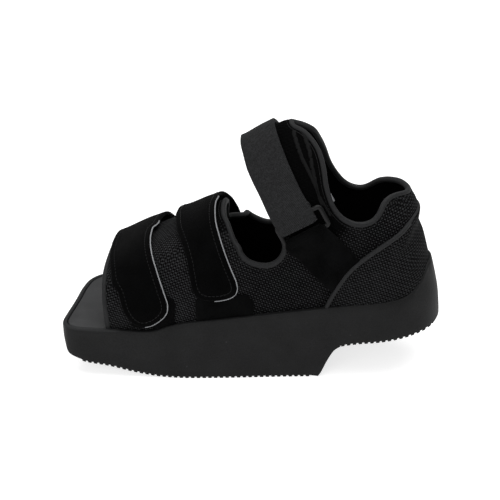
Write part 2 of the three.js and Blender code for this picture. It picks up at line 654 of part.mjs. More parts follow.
addPiece('sole', makeSole(), soleFoam);
addPiece('insole', makeInsole(), insoleFoam);
addPiece('upper', makeUpper(), knit);
addPiece('toe_binding', makeBinding(toeEdge), boundEdge);
addPiece('throat_binding', makeBinding(throatEdge), boundEdge);
addPiece('collar_binding', makeBinding(collarEdge), boundEdge);
addPiece('counter', makeCounter(), knit);
addPiece('counter_piping', makeCounterPiping(), boundEdge);
addPiece('toe_patch', makePatch([[31, 22], [31, 33], [28, 36], [20.5, 35.6], [19.4, 33], [19.8, 22]]), fleece);
addPiece('instep_patch', makePatch([[14, 24], [14.2, 34], [12, 37], [1, 35.6], [-0.9, 33], [-0.7, 25]]), fleece);
addPiece('toe_strap', makeToeStrap(), fleece);
addPiece('instep_strap', makeInstepStrap(), fleece);
addPiece('ring', ringFrame(0), ringPlastic);
addPiece('anchor_band', makeAnchorBand(), webbing);
addPiece('ankle_strap', makeAnkleStrap(), webbing);

export default object;
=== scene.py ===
import math

import bpy
import numpy as np
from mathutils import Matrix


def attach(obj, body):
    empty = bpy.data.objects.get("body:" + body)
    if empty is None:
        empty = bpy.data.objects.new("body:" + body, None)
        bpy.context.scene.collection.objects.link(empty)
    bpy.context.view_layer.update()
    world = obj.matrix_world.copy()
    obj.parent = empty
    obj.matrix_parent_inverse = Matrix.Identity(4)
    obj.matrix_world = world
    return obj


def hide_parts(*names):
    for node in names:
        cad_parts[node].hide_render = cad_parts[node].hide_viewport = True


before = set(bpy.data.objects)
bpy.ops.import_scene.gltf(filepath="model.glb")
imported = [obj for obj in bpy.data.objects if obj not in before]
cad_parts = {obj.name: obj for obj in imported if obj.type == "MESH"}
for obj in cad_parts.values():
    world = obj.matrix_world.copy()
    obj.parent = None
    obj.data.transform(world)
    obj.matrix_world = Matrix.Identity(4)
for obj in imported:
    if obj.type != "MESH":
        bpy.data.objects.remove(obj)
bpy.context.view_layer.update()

# Sole: one thick wedge of dense charcoal foam, moulded with a rim and a heel cup that hold the upper, and
# with cross ribs on the tread. It is cut away under the heel, so the shoe stands on the wedge alone.
# Tables of places hold hundredths of LENGTH, of HEIGHT and of HALF_BALL. Everything is in metres.
LENGTH = 0.296
HEIGHT = 0.2
HALF_BALL = 0.055
GAP = 0.00035
RIM_WALL = 0.0036
RIM_ROUND = 0.0014
TOE_RIM = 0.0416
TOE_CHAMFER = 0.0007
CUP_FROM = 0.025
RIB_PITCH = 0.0045
RIB_DEPTH = 0.0013
RIB_LAND = 0.0027
ACROSS = 0.09


def side(points):
    """Places of a side view, from hundredths of LENGTH and of HEIGHT."""
    return np.array(points, float) * [LENGTH / 100, HEIGHT / 100]


def curve(start, end, leaving, arriving, t):
    """Places on the curve from a start to an end that leaves and arrives in given directions."""
    return (
        (2 * start - 2 * end + leaving + arriving) * t**3
        + (3 * end - 3 * start - 2 * leaving - arriving) * t**2
        + leaving * t
        + start
    )


def smooth(points, steps):
    """A smooth line through the points."""
    points = np.asarray(points, float)
    padded = np.vstack([points[0], points, points[-1]])
    t = (np.arange(steps) / steps)[:, None]
    parts = []
    for before, start, end, after in zip(padded, padded[1:], padded[2:], padded[3:]):
        parts.append(curve(start, end, (end - before) / 2, (after - start) / 2, t))
    return np.vstack(parts + [points[-1:]])


def beside(line, distance, closed=False):
    """The line moved sideways, to the left of its direction for a positive distance."""
    if closed:
        heading = np.roll(line, -1, axis=0) - np.roll(line, 1, axis=0)
    else:
        heading = np.gradient(line, axis=0)
    heading /= np.linalg.norm(heading, axis=1, keepdims=True)
    return line + np.column_stack([-heading[:, 1], heading[:, 0]]) * np.reshape(distance, (-1, 1))


def shaded(piece, angle):
    """Shades a piece smoothly, but for edges sharper than the angle."""
    piece.data.polygons.foreach_set("use_smooth", [True] * len(piece.data.polygons))
    piece.data.set_sharp_from_angle(angle=math.radians(angle))


def made_object(name, vertices, faces, spread=None, kinds=None, angle=40):
    """A mesh object from arrays of vertices and faces. spread lays the material out, in metres."""
    mesh = bpy.data.meshes.new(name)
    mesh.from_pydata(np.asarray(vertices).tolist(), [], [list(map(int, face)) for face in faces])
    if spread is not None:
        layout = mesh.uv_layers.new(name="layout")
        corners = np.zeros(len(mesh.loops), int)
        mesh.loops.foreach_get("vertex_index", corners)
        layout.data.foreach_set("uv", np.asarray(spread)[corners].ravel().astype(np.float32))
    if kinds is not None:
        mesh.polygons.foreach_set("material_index", np.asarray(kinds, np.int32))
    piece = bpy.data.objects.new(name, mesh)
    bpy.context.scene.collection.objects.link(piece)
    shaded(piece, angle)
    return piece


def prism(name, outline, low, high, along="y"):
    """A closed solid: an outline of the side view run across the shoe, or one of the plan run upwards."""
    count = len(outline)
    first, second = outline.T
    ends = []
    for level in (low, high):
        flat = np.full(count, level)
        columns = (first, flat, second) if along == "y" else (first, second, flat)
        ends.append(np.column_stack(columns))
    here = np.arange(count)
    after = np.roll(here, -1)
    faces = [list(face) for face in np.column_stack([here, after, after + count, here + count])]
    faces += [list(here[::-1]), list(here + count)]
    area = np.sum(first * np.roll(second, -1) - np.roll(first, -1) * second)
    if (area > 0) == (along == "y"):
        faces = [face[::-1] for face in faces]
    return made_object(name, np.vstack(ends), faces)


def joined_with(body, tool, operation):
    """The body with the tool taken out, added, or kept only where both are."""
    change = body.modifiers.new("change", "BOOLEAN")
    change.operation = operation
    change.solver = "MANIFOLD"
    change.object = tool
    bpy.context.view_layer.update()
    mesh = bpy.data.meshes.new_from_object(body.evaluated_get(bpy.context.evaluated_depsgraph_get()))
    body.modifiers.clear()
    mesh.materials.clear()
    body.data = mesh
    body.data.name = body.name
    bpy.data.objects.remove(tool)
    return body


def cut_across(body, name, outline, operation="DIFFERENCE"):
    """The body cut by a side view outline that runs right across the shoe, or added to by it."""
    return joined_with(body, prism(name, outline, -ACROSS, ACROSS), operation)


# The form of the foot that the upper is drawn over: sections from the toe to the heel that stand on a plane
# inside the sole, each an arch. Columns: place along, lean, reach, near and far half-widths, the arch's
# half-widths at 20, 40, 60, 80 and 94 hundredths of its reach, bow of the straps, and share of the lap. The
# flap is the near half of each arch and a little more, and rises a step where it lies over the far one.
FORM_BASE = 0.03
FLAP_STEP = 0.0016
FLAP_EDGE = 13 / 24
FLAP_RISE = (0.28, 0.42)
SECTION_SPACING = 0.0016
ARCH_STEPS = 14
form_table = np.array([
    [43.2, 0, 25.2, 86.5, 74.0, 1.0, 1.02, 1.01, 0.92, 0.68, 0, 1],
    [37.2, 0, 27.4, 92.5, 84.5, 1.0, 1.03, 1.02, 0.9, 0.64, 0, 1],
    [27.0, 0, 35.3, 92.5, 93.5, 1.01, 1.03, 1.0, 0.85, 0.56, 0, 1],
    [18.6, 0, 39.7, 91.0, 95.5, 1.01, 1.02, 0.98, 0.82, 0.52, 1.3, 1],
    [11.5, 0, 41.2, 88.5, 91.0, 1.0, 1.0, 0.97, 0.79, 0.5, 5.1, 1],
    [7.0, 0, 41.6, 86.5, 89.0, 0.99, 0.98, 0.95, 0.78, 0.49, 7.4, 1],
    [3.9, 0, 43.6, 85.5, 87.5, 0.98, 0.97, 0.93, 0.75, 0.45, 7.6, 1],
    [1.0, -4, 72.0, 84.5, 86.0, 0.97, 0.92, 0.82, 0.54, 0.27, 0, 1],
    [-2.2, -3, 76.0, 82.5, 84.5, 0.97, 0.92, 0.85, 0.56, 0.27, 0, 1],
    [-5.4, -1, 80.4, 80.0, 82.5, 0.97, 0.93, 0.88, 0.58, 0.27, 0, 1],
    [-8.8, 0, 83.2, 78.0, 80.0, 0.98, 0.94, 0.9, 0.61, 0.28, 0, 1],
    [-12.8, 0, 82.6, 75.5, 77.0, 0.98, 0.96, 0.93, 0.66, 0.31, 0, 1],
    [-16.9, 0, 80.5, 73.5, 74.5, 0.99, 0.97, 0.95, 0.72, 0.36, 0, 1],
    [-20.4, 0, 77.5, 70.5, 71.5, 0.99, 0.98, 0.97, 0.78, 0.42, 0, 0.5],
    [-20.4, 10, 72.0, 70.5, 71.5, 0.99, 0.99, 0.99, 0.84, 0.46, 0, 0],
    [-20.4, 19, 67.6, 70.5, 71.5, 1.0, 1.0, 0.99, 0.87, 0.47, 0, 0],
    [-20.4, 28, 64.2, 70.5, 71.5, 1.0, 1.0, 0.99, 0.86, 0.5, 0, 0],
    [-20.4, 32.6, 61.0, 70.5, 71.5, 1.0, 1.0, 0.98, 0.84, 0.5, 0, 0],
    [-20.4, 36, 55.6, 70.5, 71.5, 1.0, 1.0, 0.97, 0.82, 0.49, 0, 0],
    [-20.4, 41, 52.9, 70.5, 71.5, 1.0, 1.0, 0.96, 0.8, 0.47, 0, 0],
    [-20.4, 49, 48.9, 70.5, 71.5, 1.0, 0.99, 0.94, 0.78, 0.46, 0, 0],
    [-20.4, 62, 44.6, 70.5, 71.5, 0.99, 0.98, 0.92, 0.76, 0.46, 0, 0],
    [-20.4, 76, 42.6, 70.5, 71.5, 0.99, 0.97, 0.91, 0.75, 0.45, 0, 0],
    [-20.4, 90, 41.5, 70.5, 71.5, 0.99, 0.97, 0.91, 0.75, 0.45, 0, 0],
])


def rows_between(rows):
    """Rows between the table's rows, along curves that never overshoot."""
    change = np.diff(rows, axis=0)
    earlier = np.vstack([np.zeros(rows.shape[1]), change])
    later = np.vstack([change, np.zeros(rows.shape[1])])
    product = earlier * later
    total = np.where(product > 0, earlier + later, 1)
    slope = np.where(product > 0, 2 * product / total, 0)
    parts = []
    for index, step in enumerate(change):
        moved = abs(step[0]) * LENGTH / 100
        swung = math.radians(abs(step[1])) * rows[index, 2] * HEIGHT / 100
        count = max(4, math.ceil(max(moved, swung) / SECTION_SPACING))
        t = (np.arange(count) / count)[:, None]
        parts.append(
            rows[index] + step * (3 * t**2 - 2 * t**3)
            + slope[index] * (t**3 - 2 * t**2 + t)
            + slope[index + 1] * (t**3 - t**2)
        )
    return np.vstack(parts + [rows[-1:]])


def arches(rows, places):
    """The arch of each row as shares of its half-width and reach, from the near base to the far one."""
    count = len(rows)
    rise = [0, 0.2, 0.4, 0.6, 0.8, 0.94]
    near = np.stack([np.column_stack([np.ones(count), rows[:, 5:10]]), np.tile(rise, (count, 1))], axis=2)
    far = near[:, ::-1] * [-1, 1]
    crown = np.tile([[[0.0, 1.0]]], (count, 1, 1))
    knots = np.concatenate([near, crown, far], axis=1)
    first = 2 * knots[:, :1] - knots[:, 1:2]
    last = 2 * knots[:, -1:] - knots[:, -2:-1]
    knots = np.concatenate([first, knots, last], axis=1)
    walk = np.asarray(places) * (knots.shape[1] - 3)
    part = np.minimum(walk.astype(int), knots.shape[1] - 4)
    t = (walk - part)[None, :, None]
    before, start, end, after = (knots[:, part + shift] for shift in range(4))
    pairs = ((before, start), (start, end), (end, after))
    back, here, ahead = (np.sqrt(np.linalg.norm(b - a, axis=2, keepdims=True)) for a, b in pairs)
    leaving = ((start - before) / back - (end - before) / (back + here) + (end - start) / here) * here
    arriving = ((end - start) / here - (after - start) / (here + ahead) + (after - end) / ahead) * here
    return curve(start, end, leaving, arriving, t)


def eased(share, low, high):
    """A smooth rise from 0 at low to 1 at high."""
    t = np.clip((share - low) / (high - low), 0, 1)
    return t * t * (3 - 2 * t)


form_rows = rows_between(form_table)
just_past_the_flap = FLAP_EDGE + 0.006
form_places = np.sort(np.append(np.linspace(0, 1, 12 * ARCH_STEPS + 1), just_past_the_flap))


def foot_form(bow=0):
    """The form's surface, raised by a share of the straps' bow: a grid of places and outward directions."""
    lean = np.radians(form_rows[:, 1])[:, None]
    reach = (form_rows[:, 2:3] + form_rows[:, 10:11] * bow) * HEIGHT / 100
    share = arches(form_rows, form_places)
    half_width = np.where(share[..., 0] >= 0, form_rows[:, 3:4], form_rows[:, 4:5]) * HALF_BALL / 100
    height = share[..., 1] * reach
    places = np.stack([
        form_rows[:, :1] * LENGTH / 100 - np.sin(lean) * height,
        share[..., 0] * half_width,
        FORM_BASE + np.cos(lean) * height,
    ], axis=2)
    outward = np.cross(np.gradient(places, axis=0), np.gradient(places, axis=1))
    size = np.linalg.norm(outward, axis=2, keepdims=True)
    outward = outward / np.maximum(size, 1e-12)
    for edge, inner in ((0, 1), (-1, -2)):
        flat = size[:, edge, 0] < 1e-9
        outward[flat, edge] = outward[flat, inner]
    return places, outward


def form_solid(name, grow, base):
    """The foot form grown outward by a distance, closed by a flat base."""
    places, outward = foot_form()
    grown = places + outward * grow
    grown[:, [0, -1], 2] = base
    grown[-1, :, 2] = base
    rows, columns = grown.shape[:2]
    index = np.arange(rows * columns).reshape(rows, columns)
    pivot = int(np.argmax(form_rows[:, 0] <= form_table[-1, 0] + 1e-9))
    index[pivot:, 0] = index[pivot, 0]
    index[pivot:, -1] = index[pivot, -1]
    faces = []
    quads = np.stack([index[:-1, :-1], index[1:, :-1], index[1:, 1:], index[:-1, 1:]], axis=2)
    for quad in quads.reshape(-1, 4):
        corners = list(dict.fromkeys(quad.tolist()))
        if len(corners) > 2:
            faces.append(corners)
    faces.append(index[0].tolist())
    heel = index[-1, 1:-1].tolist()
    faces.append(index[:pivot + 1, 0].tolist()[::-1] + index[:pivot + 1, -1].tolist() + heel[::-1])
    used = np.unique(np.concatenate(faces))
    number = np.full(rows * columns, -1)
    number[used] = np.arange(len(used))
    return made_object(name, grown.reshape(-1, 3)[used], [number[face].tolist() for face in faces])


sole_outline = smooth(np.array([
    [50.0, 60], [50.1, 72], [49.7, 83], [48.3, 92.5], [45.5, 97.5], [41, 99], [30.4, 99.5], [17.4, 98.5],
    [6.8, 94], [0, 90], [-8.4, 85], [-15.5, 81.5], [-25.3, 78.5], [-34.5, 75.5], [-41, 67.5], [-46.4, 48],
    [-49.3, 24], [-50, 0], [-49.3, -24], [-46.4, -48], [-41, -67.5], [-34.5, -76], [-25.3, -80],
    [-13.5, -85.5], [0, -92.5], [10, -99], [20.3, -101.5], [30.4, -99], [38.4, -91], [44, -77], [47.1, -58],
    [48.4, -30], [49, 10], [50.0, 60],
]) * [LENGTH / 100, HALF_BALL / 100], 9)[:-1]
rim_line = smooth(side([
    [50.2, 20.8], [38, 20.8], [26.2, 20.8], [20.8, 23.5], [14.1, 25.1], [7.4, 26.1], [-0.5, 27.3],
    [-8.4, 28.5], [-15.5, 29.7], [-23.2, 31.1], [-31.2, 32.3], [-38, 33.6], [-41.8, 35.5], [-44.5, 39.8],
    [-46, 43.7], [-47.2, 44.3], [-48.5, 41.8],
]), 8)
floor_line = side([[60, 18.6], [20, 18.6], [0, 20.6], [-24, 22.6], [-60, 23.6]])
# How far the sole's wall is drawn in at each height, along the sides and round the back of the heel
wall_levels = np.array([
    [-0.002, 0.0012, 0.0012], [0.01, 0.0003, 0.0003], [0.04, 0, 0], [0.048, 0.0003, 0.0006],
    [0.061, 0.0006, 0.002], [0.071, 0.0015, 0.0042], [0.084, 0.004, 0.0074], [0.092, 0.005, 0.0098],
])


def drawn_in(height, extra):
    """The sole's plan outline at each point's own height, drawn in by a further distance."""
    at_heel = eased(-sole_outline[:, 0] / LENGTH, 0.33, 0.48)
    along_side = np.interp(height, wall_levels[:, 0], wall_levels[:, 1])
    round_heel = np.interp(height, wall_levels[:, 0], wall_levels[:, 2])
    return beside(sole_outline, along_side + (round_heel - along_side) * at_heel + extra, closed=True)


def height_of(line, along):
    """Height of a side view line over places along the shoe."""
    return np.interp(-along, -line[:, 0], line[:, 1])


def stacked(name, rings):
    """A closed solid from rings of the same number of points, lowest first."""
    count = len(rings[0])
    here = np.arange(count)
    after = np.roll(here, -1)
    faces = []
    for base in range(0, (len(rings) - 1) * count, count):
        band = np.column_stack([here, after, after + count, here + count])
        faces += (base + band).tolist()
    faces += [here[::-1].tolist(), (here + (len(rings) - 1) * count).tolist()]
    return made_object(name, np.vstack(rings), faces)


def wall_rings(bottom, top_line, rounding, extra):
    """Rings up the sole's wall from a level bottom to a side view line, with a rounded top edge."""
    top = height_of(top_line, sole_outline[:, 0])
    for _ in range(4):
        top = height_of(top_line, drawn_in(top, extra)[:, 0])
    rings = []
    for share in np.linspace(0, 1, 16):
        height = bottom + (top - rounding - bottom) * share
        rings.append(np.column_stack([drawn_in(height, extra), height]))
    for angle in np.radians([22.5, 45, 67.5, 90]):
        plan = drawn_in(top, extra + rounding * (1 - math.cos(angle)))
        rings.append(np.column_stack([plan, top - rounding * (1 - math.sin(angle))]))
    inner = drawn_in(top, extra + rounding) * [0.94, 0.86]
    rings.append(np.column_stack([inner, height_of(top_line, inner[:, 0])]))
    return rings


def tread_line():
    """Side view of the sole's underside, toe to heel: sprung toe, ribbed flat, step and ribbed heel."""
    flat_end = 0.174 * LENGTH
    spring = side([[24, 0.5], [30.6, 2.2], [37.2, 4.6], [43.9, 6.1], [47.2, 8.3]])
    ramp = smooth(np.vstack([[flat_end, 0], spring]), 12)
    rising = side([[-23.8, 13.9], [-28.4, 15], [-34.8, 15.9], [-41.3, 17.4], [-46, 18.4], [-48.1, 19.3]])
    heel = smooth(rising, 8)

    def ribbed(low, high, height):
        teeth = []
        first = math.ceil((low + RIB_LAND / 2) / RIB_PITCH)
        last = math.floor((high - RIB_LAND / 2) / RIB_PITCH)
        for rib in range(first, last + 1):
            middle = rib * RIB_PITCH
            for shift, rise in ((-0.33, 1), (-0.3, 0.25), (-0.22, 0), (0.22, 0), (0.3, 0.25), (0.33, 1)):
                place = middle + shift * RIB_PITCH
                teeth.append([place, height(place) + RIB_DEPTH * rise])
        return teeth

    def on_ramp(place):
        return float(np.interp(place, ramp[:, 0], ramp[:, 1], left=0))

    def on_heel(place):
        return float(height_of(heel, np.array(place)))

    front = ribbed(-0.17 * LENGTH, 0.46 * LENGTH, on_ramp)
    under_heel = ribbed(-0.478 * LENGTH, -0.238 * LENGTH, on_heel)
    toe = smooth(side([[50.2, 20.8], [49.8, 16], [49.3, 13], [48.6, 9.6], [47.4, 8.4]]), 4)
    step = smooth(side([[-18, 0.2], [-18.8, 2.2], [-20.3, 7.5], [-22, 12], [-23.6, 13.8]]), 4)
    back = side([[-48.1, 19.3], [-49.6, 20.6], [-50.5, 22]])
    return np.vstack([toe, front[::-1], step, under_heel[::-1], smooth(back, 3)])


sole = stacked("sole_moulding", wall_rings(-0.003, rim_line, RIM_ROUND, 0))
under = np.vstack([[[0.2, TOE_RIM]], tread_line(), [[-0.2, 0.044], [-0.2, -0.02], [0.2, -0.02]]])
sole = cut_across(sole, "under_the_tread", under)
recess = form_solid("recess", GAP, CUP_FROM)
recess = cut_across(recess, "ahead_of_the_toe_edge", side([[37.2, 5], [60, 5], [60, 90], [37.2, 90]]))
below_floor = np.vstack([floor_line, side([[-60, -5], [60, -5]])])
recess = cut_across(recess, "below_the_floor", below_floor)
sole = joined_with(sole, recess, "DIFFERENCE")


def toe_pocket():
    """The room inside the rim at the open toe, with its upper edge opened out a little."""
    rings = []
    for height, out in (
        (0.03, 0), (TOE_RIM - TOE_CHAMFER, 0), (TOE_RIM + 0.0004, TOE_CHAMFER + 0.0004), (0.1, TOE_CHAMFER),
    ):
        plan = beside(sole_outline, RIM_WALL - out, closed=True)
        rings.append(np.column_stack([plan, np.full(len(plan), height)]))
    pocket = stacked("toe_pocket", rings)
    pocket = cut_across(pocket, "toe_part", side([[36.6, 5], [60, 5], [60, 60], [36.6, 60]]), "INTERSECT")
    return cut_across(pocket, "below_the_floor", below_floor)


sole = joined_with(sole, toe_pocket(), "DIFFERENCE")
shaded(sole, 32)


class Finish:
    """A principled material and the short calls that build its grain out of nodes."""

    def __init__(self, name, roughness, sheen=0, specular=0.5):
        self.material = bpy.data.materials.new(name)
        self.material.use_nodes = True
        self.tree = self.material.node_tree
        self.shader = self.tree.nodes["Principled BSDF"]
        self.shader.inputs["Roughness"].default_value = roughness
        self.shader.inputs["Specular IOR Level"].default_value = specular
        if sheen:
            self.shader.inputs["Sheen Weight"].default_value = sheen
            self.shader.inputs["Sheen Roughness"].default_value = 0.45
        self.bumped = None

    def node(self, kind, **values):
        """A new node with numbers or links set on its inputs by name."""
        made = self.tree.nodes.new(kind)
        for name, value in values.items():
            if hasattr(made, name):
                setattr(made, name, value)
                continue
            wanted = int(name[1:]) if name[1:].isdigit() else name.replace("_", " ")
            socket = made.inputs[wanted]
            if isinstance(value, bpy.types.NodeSocket):
                self.tree.links.new(value, socket)
            else:
                socket.default_value = value
        return made

    def calc(self, operation, *values):
        """The result of a sum on links and numbers."""
        inputs = {f"i{number}": value for number, value in enumerate(values)}
        return self.node("ShaderNodeMath", operation=operation, **inputs).outputs[0]

    def plus(self, first, second):
        """Two values added."""
        return self.calc("ADD", first, second)

    def times(self, first, second):
        """Two values multiplied."""
        return self.calc("MULTIPLY", first, second)

    def place(self):
        """Where a point is in the shoe, in metres."""
        return self.node("ShaderNodeTexCoord").outputs["Object"]

    def parts(self, vector):
        """The three parts of a place or a direction."""
        return self.node("ShaderNodeSeparateXYZ", Vector=vector).outputs

    def facing(self):
        """The three parts of the direction that a point faces."""
        return self.parts(self.node("ShaderNodeNewGeometry").outputs["Normal"])

    def layout(self):
        """A point's two distances over its cloth, in metres."""
        return self.parts(self.node("ShaderNodeTexCoord").outputs["UV"])[:2]

    def noise(self, per_metre, detail=3):
        """A soft noise with so many grains in a metre."""
        made = self.node("ShaderNodeTexNoise", Vector=self.place(), Scale=per_metre, Detail=float(detail))
        return made.outputs["Fac"]

    def between(self, value, low, high):
        """How far a value has come from one number to another, from 0 to 1."""
        return self.node("ShaderNodeMapRange", Value=value, From_Min=low, From_Max=high).outputs[0]

    def ramp(self, value, low, high, from_low=0.0, from_high=1.0):
        """A colour between two colours, by a value."""
        made = self.node("ShaderNodeValToRGB", Fac=value)
        for stop, position, colour in zip(made.color_ramp.elements, (from_low, from_high), (low, high)):
            stop.position = position
            stop.color = (*colour, 1)
        return made.outputs["Color"]

    def bump(self, height, depth, strength=1.0):
        """Relief of so many metres, over what was there before."""
        made = self.node("ShaderNodeBump", Height=height, Distance=depth, Strength=strength)
        if self.bumped:
            self.tree.links.new(self.bumped, made.inputs["Normal"])
        self.bumped = made.outputs["Normal"]

    def done(self, colour, roughness=None):
        """Links the colour, roughness and relief to the shader and gives the material."""
        self.tree.links.new(colour, self.shader.inputs["Base Color"])
        if roughness is not None:
            self.tree.links.new(roughness, self.shader.inputs["Roughness"])
        if self.bumped:
            self.tree.links.new(self.bumped, self.shader.inputs["Normal"])
        return self.material


def grey(value):
    """A neutral colour with a trace of blue."""
    return (value * 0.98, value, value * 1.04)


def faced(piece, front, back=None):
    """Gives a piece the material of its face, and another on its inner side where that differs."""
    for material in (front, back or front):
        piece.data.materials.append(material)


def sole_foam():
    """Dense moulded foam: dull charcoal, finely pebbled, with faint clouds and a few pale specks. The
    up-facing faces of the toe's rim are drawn paler: painted light."""
    foam = Finish("sole_foam", 0.6, specular=0.14)
    pebble = foam.noise(1400, 4)
    clouds = foam.noise(45, 3)
    shade = foam.plus(foam.times(pebble, 0.6), foam.times(clouds, 0.4))
    specks = foam.node("ShaderNodeTexVoronoi", Vector=foam.place(), Scale=60.0).outputs["Distance"]
    speck = foam.times(foam.calc("LESS_THAN", specks, 0.045), 0.9)
    foam.bump(pebble, 0.0003, 0.5)
    foam.bump(foam.noise(260, 2), 0.0006, 0.25)
    # Painted light: the up-facing faces at the toe are drawn paler, as if lit from above
    at_the_toe = foam.between(foam.parts(foam.place())[0], 0.1, 0.112)
    painted_toe_light = foam.times(at_the_toe, foam.between(foam.facing()[2], 0.1, 0.6))
    shade = foam.plus(foam.plus(shade, speck), foam.times(painted_toe_light, 1.2))
    return foam.done(foam.ramp(shade, grey(0.0016), grey(0.0155), 0.3, 1.6))


sole.data.materials.append(sole_foam())
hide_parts("sole")
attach(sole, "root")


# Insole: a smooth grey foam board that lies inside the rim and shows at the open toe. Its top edge is
# rounded where it meets the rim.
INSOLE_THICKNESS = 0.0042
WALL = 0.0028
board_top = beside(floor_line, -INSOLE_THICKNESS)
insole = stacked("insole_board", wall_rings(0.03, board_top, 0.0012, RIM_WALL + GAP))
inside = form_solid("inside_the_upper", -WALL - GAP, CUP_FROM)
inside = cut_across(inside, "toe_box", side([[38.2, 5], [60, 5], [60, 60], [38.2, 60]]), "UNION")
insole = joined_with(insole, inside, "INTERSECT")
below_board = np.vstack([beside(floor_line, -GAP), side([[-60, -5], [60, -5]])])
insole = cut_across(insole, "below_the_board", below_board)
shaded(insole, 32)


def insole_foam():
    """A board with a smooth skin: grey, faintly mottled, with a soft gloss."""
    board = Finish("insole_foam", 0.5, specular=0.25)
    mottle = board.noise(90, 4)
    board.bump(board.noise(900, 3), 0.00015, 0.5)
    return board.done(board.ramp(mottle, grey(0.017), grey(0.027), 0.3, 0.7))


insole.data.materials.append(insole_foam())
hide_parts("insole")
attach(insole, "root")


# Upper: one wall of black spacer mesh over foam and a soft black lining, open at the toe, the throat and
# the collar. The near flap laps over the far one along the crown, and the ankle wings meet over the ankle.
# Two corded seams run down the near wing, and the corner of a blank label shows inside the far collar.
BINDING_WIDTH = 0.0042
BINDING_PROUD = 0.0009
SEAM_WIDTH = 0.0012
SEAM_PROUD = 0.0006
SEAM_SUNK = 0.0004
LABEL_FROM = 0.0001
LABEL_TO = 0.0006
# Where the mesh is drawn darker: a little on the quarter, and nearly black on the ankle wings with painted
# shade
QUARTER_FRONT = (0.015, -0.005)
QUARTER_BACK = (-0.125, -0.105)
WING_FOOT = (0.116, 0.126)
WING_BACK = (-0.075, -0.062)
TOE, THROAT, COLLAR, COUNTER, STRAP_EDGE = 1, 2, 3, 4, 5


def inside_of(outline, places):
    """Distances of side view places inside a closed outline, negative outside it."""
    nearest = np.full(len(places), np.inf)
    inside = np.zeros(len(places), bool)
    for start, end in zip(outline, np.roll(outline, -1, axis=0)):
        line = end - start
        share = np.clip(((places - start) @ line) / max(line @ line, 1e-18), 0, 1)
        gap = places - start - share[:, None] * line
        nearest = np.minimum(nearest, (gap * gap).sum(axis=1))
        if start[1] != end[1]:
            spans = (start[1] > places[:, 1]) != (end[1] > places[:, 1])
            crossing = start[0] + (places[:, 1] - start[1]) * line[0] / line[1]
            inside ^= spans & (places[:, 0] < crossing)
    return np.where(inside, 1, -1) * np.sqrt(nearest)


